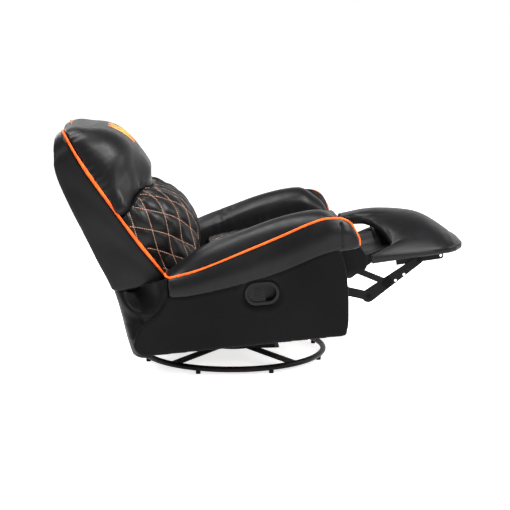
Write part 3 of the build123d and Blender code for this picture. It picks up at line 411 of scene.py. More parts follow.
# Bonded polyester thread: matte, twisted
threadLook = dict(rough=(0.6, 0.6), tone=(900.0, 1.0), toneBetween=(0.35, 0.65), relief=(900.0, 1.0, 0.0003, 0.6))
quiltThread = makeFinish("polyesterThread", ("#9A6648", "#CFA085"), **threadLook)
satinThread = makeFinish("satinStitchThread", ("#E2681C", "#FFA33C"), **threadLook)

# Powder-coated mild steel: fine orange peel, worn a little smoother on faces
steelLook = dict(tone=(14.0, 5.0), toneBetween=(0.35, 0.75), relief=(420.0, 2.0, 0.0004, 0.4), shine=0.1)
coatedSteel = makeFinish("powderCoatedSteel", ("#070708", "#0F0F10"), (0.34, 0.48), **steelLook)

# Black zinc and oiled spring steel: dark metal with faint drawing marks
drawnLook = dict(tone=(260.0, 3.0), relief=(260.0, 3.0, 0.0002, 0.3), metal=1.0)
zincSteel = makeFinish("blackZincSteel", ("#0D0D0E", "#161618"), (0.43, 0.56), **drawnLook)
springSteel = makeFinish("oiledSpringSteel", ("#3A3A3C", "#55555A"), (0.31, 0.44), **drawnLook)

# Moulded plastic with a fine spark-eroded texture
mouldLook = dict(tone=(30.0, 3.0), toneBetween=(0.3, 0.75), relief=(700.0, 2.0, 0.0002, 0.5))
handlePlastic = makeFinish("mouldedAbs", ("#080809", "#0F0F10"), (0.31, 0.42), shine=0.15, **mouldLook)
glidePlastic = makeFinish("mouldedPolyethylene", ("#09090A", "#111112"), (0.45, 0.56), shine=0.1, **mouldLook)
cagePlastic = makeFinish("mouldedNylon", ("#8C8A80", "#B2B0A6"), (0.45, 0.56), shine=0.4, **mouldLook)

# Sawn softwood and plywood: long grain along the piece
woodLook = dict(tone=(2.5, 6.0), relief=(2.5, 6.0, 0.0006, 0.5), stretch=(4.0, 60.0, 60.0), bend=0.8)
frameWood = makeFinish("planedPine", ("#9C7448", "#D6B483"), (0.62, 0.62), **woodLook)


# Woven elastic webbing: ribs across the band
def makeWebbing():
    material, tree, shader = newMaterial("wovenElastic")
    band = {"Vector": placeIn(tree), "Scale": 60.0, "Distortion": 0.3}
    ribs = addNode(tree, "ShaderNodeTexWave", band, bands_direction="Y").outputs["Fac"]
    paint(tree, shader, ribs, ("#1E1E20", "#3C3C40"))
    shader.inputs["Roughness"].default_value = 0.8
    emboss(tree, shader, ribs, depth=0.0008, strength=0.7)
    return material


webbing = makeWebbing()

finishes = {
    "steel_frame": coatedSteel,
    "zinc_steel": zincSteel,
    "spring_steel": springSteel,
    "frame_wood": frameWood,
    "glide_plastic": glidePlastic,
    "cage_plastic": cagePlastic,
    "handle_plastic": handlePlastic,
    "cable_cover": glidePlastic,
    "orange_piping": pipingCord,
    "webbing": webbing,
    "panel_leather": shadedPanelLeather,
    "quilted_leather": coverLeather,
    "cushion_leather": coverLeather,
}
slotOf = {row["node"]: row["material_slot"] for row in frame["record"]["subparts"]}
for nodeName, shown in frame["nodes"].items():
    shown.data.materials.clear()
    shown.data.materials.append(finishes[slotOf[nodeName]])
print("materials made")


def settle(piece, body, slot, nodes=(), material=None):
    piece.data.materials.clear()
    piece.data.materials.append(material or finishes[slot])
    if body:
        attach(piece, body)
    if nodes:
        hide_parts(*nodes)
    return piece


# Camera and light
def standAt(piece, at, ahead):  # it looks or shines along ahead
    piece.location = at
    piece.rotation_mode = "QUATERNION"
    piece.rotation_quaternion = Vector(ahead).to_track_quat("-Z", "Y")
    bpy.context.scene.collection.objects.link(piece)


camera = dict(at=(-0.31272, -5.04853, 1.25845), ahead=(0.07777, 0.98246, -0.16945), lens=92.6, sensor=36.0)
cameraData = bpy.data.cameras.new("camera")
cameraData.lens = camera["lens"]
cameraData.sensor_width = camera["sensor"]
cameraPiece = bpy.data.objects.new("camera", cameraData)
standAt(cameraPiece, camera["at"], camera["ahead"])
bpy.context.scene.camera = cameraPiece
bpy.context.scene.view_settings.view_transform = "Standard"

lamps = [  # where, what it points at, width, power
    {"name": "keyLamp", "at": (1.6, -1.75, 3.1), "to": (-0.5, -0.2, 0.7), "size": 1.7, "power": 240},
    {"name": "frontLamp", "at": (3.2, -0.6, 1.6), "to": (-0.2, 0.0, 0.6), "size": 1.2, "power": 45},
    {"name": "topLamp", "at": (-0.8, -0.2, 3.6), "to": (-0.2, 0.0, 0.4), "size": 1.5, "power": 120},
    {"name": "leftLamp", "at": (-2.5, -2.4, 2.0), "to": (-0.4, 0.0, 0.5), "size": 1.2, "power": 32},
    {"name": "backLamp", "at": (-2.0, 1.9, 2.6), "to": (-0.1, 0.0, 0.5), "size": 1.5, "power": 65},
]
for lamp in lamps:
    lightData = bpy.data.lights.new(lamp["name"], "AREA")
    lightData.shape = "SQUARE"
    lightData.size = lamp["size"]
    lightData.energy = lamp["power"]
    lightPiece = bpy.data.objects.new(lamp["name"], lightData)
    standAt(lightPiece, lamp["at"], Vector(lamp["to"]) - Vector(lamp["at"]))

# Reflections see a white backdrop behind the chair, and an unlit ceiling and room on the camera's side
studio = dict(
    ceilingZ=(0.35, 0.75), roomY=(0.3, -0.2), white=(1.0, 1.0, 1.0, 1.0), unlit=(0.2, 0.2, 0.2, 1.0),
    fill=(0.42, 0.42, 0.43, 1.0), floor=(0.86, 0.86, 0.86, 1.0), floorRough=0.9, floorGlow=0.75, size=30.0,
)


def combine(tree, operation, first, second):
    return addNode(tree, "ShaderNodeMath", {0: first, 1: second}, operation=operation).outputs[0]


def blendColours(tree, share, first, second):
    return addNode(tree, "ShaderNodeMix", {"Factor": share, 6: first, 7: second}, data_type="RGBA").outputs[2]


def raysOf(tree):  # 1 for the rays that look at a surface and 0 for those that light one; then the reflected ones
    rays = addNode(tree, "ShaderNodeLightPath").outputs
    looking = combine(tree, "MAXIMUM", rays["Is Camera Ray"], rays["Is Glossy Ray"])
    return combine(tree, "MAXIMUM", looking, rays["Is Transmission Ray"]), rays["Is Glossy Ray"]


world = bpy.data.worlds.new("studio")
bpy.context.scene.world = world
world.use_nodes = True
skyTree = world.node_tree
sky = skyTree.nodes["Background"]
seen, reflected = raysOf(skyTree)
skyPlace = addNode(skyTree, "ShaderNodeTexCoord").outputs["Generated"]
direction = addNode(skyTree, "ShaderNodeSeparateXYZ", {0: skyPlace}).outputs
ceiling = mapBetween(skyTree, direction["Z"], *studio["ceilingZ"], 0.0, 1.0)
room = mapBetween(skyTree, direction["Y"], *studio["roomY"], 0.0, 1.0)
unlit = combine(skyTree, "MULTIPLY", combine(skyTree, "MAXIMUM", ceiling, room), reflected)
backdrop = blendColours(skyTree, unlit, studio["white"], studio["unlit"])
skyTree.links.new(blendColours(skyTree, seen, studio["fill"], backdrop), sky.inputs["Color"])
sky.inputs["Strength"].default_value = 1.0

floorMaterial, floorTree, floorShader = newMaterial("studioFloor")
floorShader.inputs["Base Color"].default_value = studio["floor"]
floorShader.inputs["Roughness"].default_value = studio["floorRough"]
floorShader.inputs["Emission Color"].default_value = studio["white"]
glow = combine(floorTree, "MULTIPLY", raysOf(floorTree)[0], studio["floorGlow"])
floorTree.links.new(glow, floorShader.inputs["Emission Strength"])
floorMesh = bmesh.new()
bmesh.ops.create_grid(floorMesh, x_segments=1, y_segments=1, size=studio["size"])
floor = newPiece("floor", floorMesh, smooth=False)
floor.data.materials.append(floorMaterial)
print("camera and light set")

# Quilting. On the back the rows lean more and more towards the flanks, as a flat quilt does when it is
# drawn over a round form; each family of rows is the places where latticeCount comes to a whole number.
quilt = dict(
    pitch=0.088, depth=0.0075, soft=0.012, sharpness=1.4,
    stitch=0.0062, gap=0.0014, thread=0.0011, proud=0.0005, jump=0.01, rayReach=0.9,
    rings=((0.0, 0.45), (0.25, 1.0), (0.75, 1.0), (1.0, 0.45)),  # places along a stitch, with its thickness there
    section=((1, 0), (0, 1), (-1, 0), (0, -0.6)),
)
quiltStep = quilt["pitch"] / math.sqrt(2)
lattice = dict(along=7.55, alongTurn=-5.57, across=12.7, acrossTurn=3.15, middle=0.18)
families = ((1, -0.034), (-1, -0.416))  # the side a family leans to, and where its rows start


def toNearest(count):  # distance to the nearest whole number
    return np.abs((count + 0.5) % 1.0 - 0.5)


def latticeCount(across, along):
    rise = along - lattice["middle"]
    slope = lattice["along"] + lattice["alongTurn"] * across
    return rise * slope + across * (lattice["across"] + lattice["acrossTurn"] * across)


def latticeSlope(across, along):
    rise = along - lattice["middle"]
    up = lattice["along"] + lattice["alongTurn"] * across
    over = lattice["across"] + 2 * lattice["acrossTurn"] * across + lattice["alongTurn"] * rise
    return np.hypot(up, over)


def backRows(across, along):  # distance to the nearest row of each family
    return [
        toNearest(latticeCount(turn * across, along) + start) / latticeSlope(turn * across, along)
        for turn, start in families
    ]


def seatRows(across, along):
    return [toNearest((along + turn * across) / math.sqrt(2) / quiltStep) * quiltStep for turn in (1, -1)]


def quiltDepth(rows):
    rise = 1
    for distance in rows:
        rise = rise * (1 - np.exp(-((distance / quilt["soft"]) ** quilt["sharpness"])))
    return (rise - 1) * quilt["depth"]


def layRow(bm, tree, rays, kept):  # threads along the places where a row of rays meets the cover
    pace = quilt["stitch"] + quilt["gap"]
    last, start, run = None, None, 0.0
    for origin, down in rays:
        hit, normal, _, _ = tree.ray_cast(origin, down, quilt["rayReach"])
        if hit is None or not kept(normal):
            last = start = None
            continue
        if last is None or (hit - last).length > quilt["jump"]:
            last = start = hit
            run = 0.0
            continue
        run += (hit - last).length
        last = hit
        if run >= pace:
            head = start.lerp(hit, quilt["stitch"] / pace)
            lift = normal * quilt["proud"]
            layStitch(bm, start + lift, head + lift, normal)
            start, run = hit, 0.0


def layStitch(bm, a, b, normal):
    ahead = (b - a).normalized()
    side = ahead.cross(normal).normalized()
    up = side.cross(ahead).normalized()
    rings = []
    for t, share in quilt["rings"]:
        centre, radius = a.lerp(b, t), quilt["thread"] * share
        rings.append([bm.verts.new(centre + (side * x + up * z) * radius) for x, z in quilt["section"]])
    skinRings(bm, rings)


# The piping and the edges beside it come forward towards the top and the foot of the back
backAhead = Vector((math.cos(backPlace["angle"]), 0, math.sin(backPlace["angle"])))
drawn = dict(
    lowTo=-0.01, highFrom=0.06, topOut=0.013, topFrom=(0.5, 0.7), footOut=0.009, footTo=(0.06, 0.22),
    dropFrom=(0.6, 0.69), dropWithin=(0.19, 0.27),
)


def drawForward(piece, lowCut=-0.09, highCut=0.13, topDrop=0.01):
    p, y, q = local(piece, backPlace)
    band = ease(p, lowCut, drawn["lowTo"]) * (1 - ease(p, drawn["highFrom"], highCut))
    out = drawn["topOut"] * ease(q, *drawn["topFrom"]) + drawn["footOut"] * (1 - ease(q, *drawn["footTo"]))
    drop = topDrop * ease(q, *drawn["dropFrom"]) * (1 - ease(np.abs(y), *drawn["dropWithin"]))
    setLocal(piece, p + out * band, y, q - drop, backPlace)
    return piece


piping = dict(longest=0.02, cuts=24, topDrop=0.022)
bm = nodeMesh("back_piping")
long = [edge for edge in bm.edges if edge.calc_length() > piping["longest"]]
bmesh.ops.subdivide_edges(bm, edges=long, cuts=piping["cuts"], use_grid_fill=True)
backPiping = drawForward(newPiece("backPiping", bm), topDrop=piping["topDrop"])
settle(backPiping, "back", "orange_piping", ["back_piping"])

# Cushions of the back, with the crease between them
cushion = dict(
    voxel=0.008, pressure=4.0, sewnTo=(0.03, 0.06), lowCut=-0.05,
    creaseAt=0.335, creaseTall=0.06, creaseUp=0.006, crease=dict(wide=[(0.25, 0.16)], ahead=[(0.07, 0.13)]),
)


def makeCushion(name, node, rounds, cap):
    piece = softCopy(name, node, cushion["voxel"], rounds)
    p, y, q = local(piece, backPlace)
    inflate(piece, cushion["pressure"], cap, 1 - ease(p, *cushion["sewnTo"]))
    return divide(piece)


def creaseRise(p, y, q):
    near = bell(q - cushion["creaseAt"], cushion["creaseTall"]) * within(p, y, q, cushion["crease"])
    return cushion["creaseUp"] * near


# Head pillow: a lip over the crease, lower cheeks, and gathers along the seam
pillow = dict(
    rounds=5, cap=0.008, lipAt=0.355, lipTall=0.045, lipFrom=(0.09, 0.17), lipOut=0.016,
    cheek=dict(wide=[(0.1, 0.225)], up=[(0.52, 0.36)], ahead=[(0.05, 0.15)]), cheekIn=0.036, cheekUp=0.026,
    seamAt=0.03, seamReach=0.028, seamFrom=(0.36, 0.48), turnAt=0.5,
    gather=0.0022, wave=(46, 2.2, 7), fineWave=83, fineStart=1.3,
)
headPillow = makeCushion("headPillow", "head_cushion", pillow["rounds"], pillow["cap"])
drawForward(headPillow, lowCut=cushion["lowCut"])
p, y, q = local(headPillow, backPlace)
lip = bell(q - pillow["lipAt"], pillow["lipTall"]) * ease(p, *pillow["lipFrom"])
setLocal(headPillow, p + pillow["lipOut"] * lip, y, q + creaseRise(p, y, q), backPlace)
p, y, q = local(headPillow, backPlace)
cheek = within(p, y, q, pillow["cheek"])
setLocal(headPillow, p - pillow["cheekIn"] * cheek, y, q + pillow["cheekUp"] * cheek, backPlace)
nearSeam = np.exp(-np.maximum(p - pillow["seamAt"], 0) / pillow["seamReach"]) * ease(q, *pillow["seamFrom"])
turn = np.arctan2(q - pillow["turnAt"], y)
waves = ripple(turn, *pillow["wave"]) + np.sin(turn * pillow["fineWave"] + pillow["fineStart"])
push(headPillow, pillow["gather"] * 0.5 * waves * nearSeam)
settle(headPillow, "back", "cushion_leather", ["head_cushion"])
print("head pillow made")

# Lumbar pad: the quilt wraps round its flanks
wrap = dict(flatHalf=0.17, centre=0.05, radius=0.16, away=0.4)
lumbar = dict(
    rounds=8, cap=0.006, flatFrom=0.025, flatBy=0.955,
    shoulder=dict(wide=[(0.1, 0.225)], up=[(0.24, 0.34)], ahead=[(0.03, 0.12)]), shoulderUp=0.024,
    corner=dict(wide=[(0.14, 0.22)], up=[(0.14, 0.03)]), cornerOut=0.042, cornerMost=0.286, cornerDown=0.012,
    facing=(0.35, 0.75), quilted=dict(up=[(0.03, 0.06), (0.35, 0.325)], ahead=[(0.03, 0.06)]),
    pleatAt=0.33, pleatTall=0.04, pleatFacing=(0.2, 0.6), pleatWave=(190, 1.5, 31), pleat=0.0012,
    rowsFrom=0.034, rowsTo=0.345, rowStep=0.0012, rows=8, widest=0.44, stitchFacing=0.6,
)


def wrapAcross(p, y):  # distance across the pad, measured round its flanks
    side = np.abs(y) - wrap["flatHalf"]
    round_ = wrap["flatHalf"] + wrap["radius"] * np.arctan2(np.maximum(side, 0), p - wrap["centre"])
    return np.where(side > 0, round_, np.abs(y)) * np.sign(y)


def wrapRay(across, along):
    turn = max(0.0, abs(across) - wrap["flatHalf"]) / wrap["radius"]
    away = wrap["away"] * np.array([math.cos(turn), math.copysign(math.sin(turn), across), 0.0])
    base = np.array([wrap["centre"], math.copysign(min(abs(across), wrap["flatHalf"]), across), along])
    origin, foot = toWorld(*(base + away), backPlace), toWorld(*base, backPlace)
    return Vector(origin), Vector(foot - origin).normalized()


def rowAcross(rise, level):  # where a row of the lattice runs at that height, or None
    b = lattice["across"] + lattice["alongTurn"] * rise
    inner = b * b - 4 * lattice["acrossTurn"] * (lattice["along"] * rise + level)
    return (math.sqrt(inner) - b) / (2 * lattice["acrossTurn"]) if inner > 0 else None


lumbarPad = makeCushion("lumbarPad", "lumbar_cushion", lumbar["rounds"], lumbar["cap"])
p, y, q = local(lumbarPad, backPlace)
p = p - np.maximum(p - lumbar["flatFrom"], 0) * (1 - lumbar["flatBy"])
setLocal(lumbarPad, p, y, q + creaseRise(p, y, q), backPlace)
drawForward(lumbarPad, lowCut=cushion["lowCut"])
p, y, q = local(lumbarPad, backPlace)
wide, shoulder, corner = np.abs(y), within(p, y, q, lumbar["shoulder"]), within(p, y, q, lumbar["corner"])
widened = np.minimum(wide + lumbar["cornerOut"] * corner, np.maximum(lumbar["cornerMost"], wide))
y = np.sign(y) * np.where(corner > 0, widened, wide)
q = q + lumbar["shoulderUp"] * shoulder - lumbar["cornerDown"] * corner
setLocal(lumbarPad, p, y, q, backPlace)
p, y, q = local(lumbarPad, backPlace)
normals = readNormals(lumbarPad)
across = wrapAcross(p, y)
outwardness = normals @ np.array(backAhead) + np.abs(normals[:, 1])
facing = ease(outwardness, *lumbar["facing"]) * within(p, y, q, lumbar["quilted"])
pleats = ripple(across, *lumbar["pleatWave"]) * bell(q - lumbar["pleatAt"], lumbar["pleatTall"])
pleats *= ease(outwardness, *lumbar["pleatFacing"])
push(lumbarPad, quiltDepth(backRows(across, q)) * facing + lumbar["pleat"] * pleats)
settle(lumbarPad, "back", "quilted_leather", ["lumbar_cushion"])
lumbarTree = treeOf(lumbarPad)
bm = bmesh.new()
for turn, start in families:
    for number in range(-lumbar["rows"], lumbar["rows"] + 1):
        rays = []
        for along in np.arange(lumbar["rowsFrom"], lumbar["rowsTo"], lumbar["rowStep"]):
            across = rowAcross(along - lattice["middle"], start - number)
            if across is not None and abs(across) < lumbar["widest"]:
                rays.append(wrapRay(turn * across, along))
        layRow(bm, lumbarTree, rays, lambda normal: normal.dot(backAhead) + abs(normal.y) > lumbar["stitchFacing"])
settle(newPiece("lumbarStitches", bm), "back", "quilted_leather", material=quiltThread)
print("lumbar pad made")

# Seat pad
seat = dict(
    voxel=0.008, rounds=6, pressure=3.0, cap=0.006, sewnTo=(0.4, 0.44),
    facing=(0.35, 0.75), quilted=dict(ahead=[(0.43, 0.395)], wide=[(0.262, 0.245)]),
    noseFrom=(0.4, 0.414), noseTop=0.494, noseTall=0.028, noseDown=0.022,
    edges=dict(wide=[(0.225, 0.262)]), edgeFacing=(0.1, 0.6), edgeWave=(170, 2, 29), edge=0.0028,
    rows=9, rowReach=0.6, rowStep=0.0024, rowHalf=0.25, rowFrom=-0.055, rowTo=0.405,
    rayFrom=0.7, stitchFacing=-0.5,
)
seatDown = Vector((math.sin(lean), 0, -math.cos(lean)))
seatPad = softCopy("seatPad", "seat_cushion", seat["voxel"], seat["rounds"])
u, y, w = local(seatPad, bodyPlace)
inflate(seatPad, seat["pressure"], seat["cap"], 1 - ease(w, *seat["sewnTo"]))
divide(seatPad)
u, y, w = local(seatPad, bodyPlace)
upness = readNormals(seatPad) @ -np.array(seatDown)
facing = ease(upness, *seat["facing"]) * within(u, y, w, seat["quilted"])
nose = ease(u, *seat["noseFrom"]) * np.clip((seat["noseTop"] - w) / seat["noseTall"], 0, 1)
edges = ripple(u, *seat["edgeWave"]) * within(u, y, w, seat["edges"]) * ease(upness, *seat["edgeFacing"])
push(seatPad, quiltDepth(seatRows(y, u)) * facing + seat["edge"] * edges)
u, y, w = local(seatPad, bodyPlace)
setLocal(seatPad, u, y, w - seat["noseDown"] * nose, bodyPlace)
settle(seatPad, "chassis", "quilted_leather", ["seat_cushion"])
seatTree = treeOf(seatPad)
bm = bmesh.new()
for turn in (1, -1):
    for number in range(-seat["rows"], seat["rows"] + 1):
        rays = []
        for over in np.arange(-seat["rowReach"], seat["rowReach"], seat["rowStep"]):
            along = (number * quiltStep + over) / math.sqrt(2)
            across = turn * (number * quiltStep - over) / math.sqrt(2)
            if abs(across) < seat["rowHalf"] and seat["rowFrom"] < along < seat["rowTo"]:
                rays.append((bodyPoint(along, across, seat["rayFrom"]), seatDown))
        layRow(bm, seatTree, rays, lambda normal: normal.dot(seatDown) < seat["stitchFacing"])
settle(newPiece("seatStitches", bm), "chassis", "quilted_leather", material=quiltThread)
print("seat pad made")

# Arms. The cover hangs a little below the piping, and its front leans back
arm = dict(
    voxel=0.007, rounds=4, pressure=3.0, cap=0.004, sewnFrom=0.428, outer=(0.395, 0.42),
    hemSide=0.427, hemTall=0.02, hemFrom=(0.4, 0.425), hemDown=0.007, hemOut=0.003,
    hemFront=(0.3, 0.38), hemFrontDown=0.005,
    front=dict(ahead=[(0.33, 0.425)], wide=[(0.418, 0.395)]), frontBack=0.016, frontDown=0.014,
    foldAt=0.397, foldWide=0.0045, fold=dict(up=[(0.44, 0.46), (0.55, 0.53)]), foldDepth=0.006,
    cheeks=[(1.0, 0.368, 0.512, 0.024), (0.7, 0.418, 0.505, 0.016)],  # share, place ahead, height, width
    cheek=0.003, inner=(0.3, 0.28), waveAt=0.47, waveTall=0.03, wave=(140, 2, 37), wrinkle=0.0006,
)


def shapeArm(name, node):
    piece = softCopy(name, node, arm["voxel"], arm["rounds"])
    u, y, w = local(piece, bodyPlace)
    inflate(piece, arm["pressure"], arm["cap"], (np.abs(y) > arm["sewnFrom"]).astype(float))
    divide(piece)
    u, y, w = local(piece, bodyPlace)
    wide, side = np.abs(y), np.sign(y)
    outer = ease(wide, *arm["outer"])
    hem = edgeLine(u, w, wide > arm["hemSide"])
    near = bell(np.maximum(w - hem, 0), arm["hemTall"]) * ease(wide, *arm["hemFrom"])
    w = w - (arm["hemDown"] + arm["hemFrontDown"] * ease(u, *arm["hemFront"])) * near
    y = y + side * arm["hemOut"] * near
    front = within(u, y, w, arm["front"])
    setLocal(piece, u - arm["frontBack"] * front, y, w - arm["frontDown"] * front, bodyPlace)
    fold = bell(u - arm["foldAt"], arm["foldWide"]) * within(u, y, w, arm["fold"])
    cheeks = sum(share * bell(np.hypot(u - ahead, w - up), size) for share, ahead, up, size in arm["cheeks"])
    waves = ripple(u, *arm["wave"]) * ease(np.abs(y), *arm["inner"]) * bell(w - arm["waveAt"], arm["waveTall"])
    push(piece, (arm["cheek"] * cheeks - arm["foldDepth"] * fold) * outer + arm["wrinkle"] * waves)
    return piece


armRight = shapeArm("armRight", "arm_pad_right")
settle(armRight, "chassis", "cushion_leather", ["arm_pad_right"])
settle(mirrorCopy(armRight, "armLeft"), "chassis", "cushion_leather", ["arm_pad_left"])

# The piping goes on past both ends of the pad
tail = dict(
    rear=[(-0.228, 0.403), (-0.236, 0.4025), (-0.243, 0.4055), (-0.247, 0.412), (-0.249, 0.42)],
    front=[(0.4558, 0.493), (0.4588, 0.482), (0.4605, 0.472), (0.461, 0.461), (0.46, 0.451)],
    radius=0.0045, side=0.4229, tuck=dict(rear=0.01, front=0.0), around=16,
)
bm = bmesh.new()
for end in ("rear", "front"):
    last = len(tail[end]) - 1
    for side in (-1, 1):
        route = [
            bodyPoint(u, side * (tail["side"] - tail["tuck"][end] * k / last), w)
            for k, (u, w) in enumerate(tail[end])
        ]
        rings = []
        for k, at in enumerate(route):
            ahead = (route[min(k + 1, last)] - route[max(k - 1, 0)]).normalized()
            up = ahead.cross(Vector((0, 1, 0))).normalized()
            rings.append(roundRing(bm, at, tail["radius"], up, ahead.cross(up), tail["around"]))
        skinRings(bm, rings)
bmesh.ops.recalc_face_normals(bm, faces=bm.faces)
settle(newPiece("pipingTails", bm), "chassis", "orange_piping")

frontRight = divide(softCopy("armFrontRight", "arm_front_right", voxel=0.006))
settle(frontRight, "chassis", "cushion_leather", ["arm_front_right"])
settle(mirrorCopy(frontRight, "armFrontLeft"), "chassis", "cushion_leather", ["arm_front_left"])
print("arms made")

# Side panels. The near one is drawn in round the handle's rim
panel = dict(
    voxel=0.0055, rounds=5, outer=(0.436, 0.443), crest=0.004, crestTall=0.012, crestFrom=(-0.25, -0.21),
    sag=0.0015, sagPitch=9, sagStart=1.0, sagFrom=(0.16, 0.24),
    dimpleU=0.092, dimpleW=0.3165, dimpleHalf=0.021, dimpleRadius=0.0415, dimpleDepth=0.0045,
    dimpleReach=0.016, ringAt=0.024, ringWide=0.012, ring=0.0016,
)


def shapePanel(name, node, handed):
    piece = softCopy(name, node, panel["voxel"], panel["rounds"])
    points = readPoints(piece)
    u, y, w = toLocal(points, bodyPlace)
    side = np.sign(np.mean(y))
    crest = edgeLine(u, w, np.abs(y) > 0.0, lowest=False)
    rise = panel["crest"] * bell(crest - w, panel["crestTall"]) * ease(u, *panel["crestFrom"])
    points -= rise[:, None] * np.array(seatDown)
    sag = panel["sag"] * np.sin(u * panel["sagPitch"] + panel["sagStart"]) * ease(w, *panel["sagFrom"])
    if handed:
        beside = np.maximum(np.abs(u - panel["dimpleU"]) - panel["dimpleHalf"], 0)
        gap = np.hypot(beside, w - panel["dimpleW"]) - panel["dimpleRadius"]
        sag -= panel["dimpleDepth"] * np.exp(-np.maximum(gap, 0) / panel["dimpleReach"])
        sag += panel["ring"] * bell(gap - panel["ringAt"], panel["ringWide"])
    points[:, 1] += side * sag * ease(np.abs(y), *panel["outer"])
    writePoints(piece, points)
    return divide(piece)


for name, node, handed in (("sidePanelRight", "side_panel_right", True), ("sidePanelLeft", "side_panel_left", False)):
    settle(shapePanel(name, node, handed), "chassis", "panel_leather", [node])
print("side panels made")

# Back shell
shell = dict(
    voxel=0.0065, rounds=5, wave=0.002, pitch=24, sway=2, swayPitch=18,
    waved=dict(ahead=[(0.0, -0.05)], up=[(0.65, 0.45)]),
)
backShell = drawForward(softCopy("backCover", "back_shell", shell["voxel"], shell["rounds"]))
p, y, q = local(backShell, backPlace)
waves = np.sin(q * shell["pitch"] + shell["sway"] * np.sin(p * shell["swayPitch"]))
divide(push(backShell, shell["wave"] * waves * within(p, y, q, shell["waved"])))
settle(backShell, "back", "cushion_leather", ["back_shell"])
print("back cover made")

# Footrest: one cover over pad, bridge and board.
# It is a leaf: the bridge to the seat widens into the dome, and two wings reach back beside it.
# Places ahead and heights are in the frame of the board; each list pairs with its places.
leaf = dict(
    half=0.268, round=0.014, roundSteps=7, under=-0.004, thick=0.026, steps=56, relax=3,
    slices=[(0, 0.04, 6), (0.045, 0.072, 10), (0.08, 0.196, 14)], lastSlice=0.202, lastCount=18,
    edgeAcross=[0.000, 0.045, 0.057, 0.066, 0.1, 0.15, 0.19, 0.214, 0.223, 0.233, 0.246, 0.257, 0.268],
    edgeAt=[-0.056, -0.055, -0.034, 0.022, 0.056, 0.075, 0.092, 0.102, 0.092, 0.055, 0.025, 0.011, 0.013],
    curlAt=[0.000, 0.001, 0.007, 0.01, 0.011, 0.009, 0.011, 0.018, 0.023, 0.025, 0.018, 0.007, 0.002],
    curlReach=0.034, curlPower=1.3,
    tipShare=[0.0, 0.5, 0.73, 0.89, 0.965, 0.99, 1.0],
    tipAt=[0.384, 0.381, 0.365, 0.335, 0.302, 0.27, 0.236],
    topAt=[-0.049, 0.008, 0.059, 0.122, 0.185, 0.234, 0.271, 0.335, 0.387],
    top=[0.157, 0.162, 0.164, 0.158, 0.146, 0.133, 0.118, 0.061, 0.01],
    ridgeAt=[0.005, 0.101, 0.179, 0.251, 0.313, 0.339, 0.385],
    ridge=[0.024, 0.02, 0.015, 0.012, 0.013, 0.018, 0.007],
    wideAt=[0.235, 0.27, 0.302, 0.335, 0.365, 0.381, 0.388],
    wide=[1.0, 0.99, 0.965, 0.89, 0.73, 0.5, 0.3],
    bow=1.273, softness=0.03, aboveRidge=0.004, leastThick=0.01,
    shelfBehind=(0.008, 0.03), shelfFrom=(0.066, 0.084), shelfAcross=(0.205, 0.222),
    roll=0.008, rollOut=0.6, rollShare=0.28,
    pressure=3.0, cap=0.004, sewnTo=(0.02, 0.034),
)


def rollPoints(at, a, b):  # two points that round an edge off between two heights
    share = leaf["rollShare"]
    return [(at, a + (b - a) * share), (at, a + (b - a) * (1 - share))]


def leafProfile(across, squeeze):  # closed outline of one slice, as places ahead and heights
    start = np.interp(across, leaf["edgeAcross"], leaf["edgeAt"])
    tip = float(np.interp(across / leaf["half"], leaf["tipShare"], leaf["tipAt"]))
    t = (1 - np.cos(np.linspace(0, math.pi, leaf["steps"]))) / 2
    ahead = start + (tip - start) * t
    crest = softLine(ahead, leaf["topAt"], leaf["top"], leaf["softness"])
    ridge = softLine(ahead, leaf["ridgeAt"], leaf["ridge"], leaf["softness"])
    wide = leaf["half"] * np.interp(ahead, leaf["wideAt"], leaf["wide"])
    share = np.minimum(across / wide, 1.0)
    bow = leaf["bow"]
    drop = (bow - np.sqrt(bow * bow - share * share)) / (bow - math.sqrt(bow * bow - 1))
    top = crest - (crest - ridge) * drop
    curl = np.interp(across, leaf["edgeAcross"], leaf["curlAt"])
    top = top - curl * np.exp(-((ahead - start) / leaf["curlReach"]) ** leaf["curlPower"])
    top = np.maximum(top, ridge + leaf["aboveRidge"])
    shelf = ease(ahead - start, *leaf["shelfBehind"]) * ease(ahead, *leaf["shelfFrom"])
    shelf = np.maximum(shelf, ease(across, *leaf["shelfAcross"]))
    low = (top - leaf["thick"]) * (1 - shelf) + leaf["under"] * shelf
    low = np.minimum(low, top - leaf["leastThick"])
    top = ridge + (top - ridge) * squeeze
    low = ridge + (low - ridge) * squeeze
    out = min(leaf["roll"], (tip - start) / 4) * leaf["rollOut"]
    rear = rollPoints(ahead[0] - out, top[0], low[0])
    front = rollPoints(ahead[-1] + out, low[-1], top[-1])
    return list(zip(ahead[::-1], top[::-1])) + rear + list(zip(ahead, low)) + front


reach = leaf["half"] - leaf["round"]
runs = leaf["slices"] + [(leaf["lastSlice"], reach, leaf["lastCount"])]
slices = [(y, 1.0) for run in runs for y in np.linspace(*run)]
for a in np.linspace(0, math.pi / 2, leaf["roundSteps"])[1:-1]:
    slices.append((reach + leaf["round"] * math.sin(a), math.cos(a)))
bm = bmesh.new()
rings = []
for side, across, squeeze in [(-1, *cut) for cut in slices[:0:-1]] + [(1, *cut) for cut in slices]:
    ahead, up = np.array(leafProfile(across, squeeze)).T
    rings.append([bm.verts.new(at) for at in toWorld(ahead, np.full_like(ahead, side * across), up, padPlace)])
skinRings(bm, rings, closed=False)
for ring in (rings[0], rings[-1]):  # each side closes on a seam between top and underside
    for k in range(leaf["steps"] - 1):
        below = 2 * leaf["steps"] + 1 - k
        bm.faces.new((ring[k], ring[k + 1], ring[below - 1], ring[below]))
bmesh.ops.holes_fill(bm, edges=[edge for edge in bm.edges if edge.is_boundary], sides=8)
bmesh.ops.recalc_face_normals(bm, faces=bm.faces)
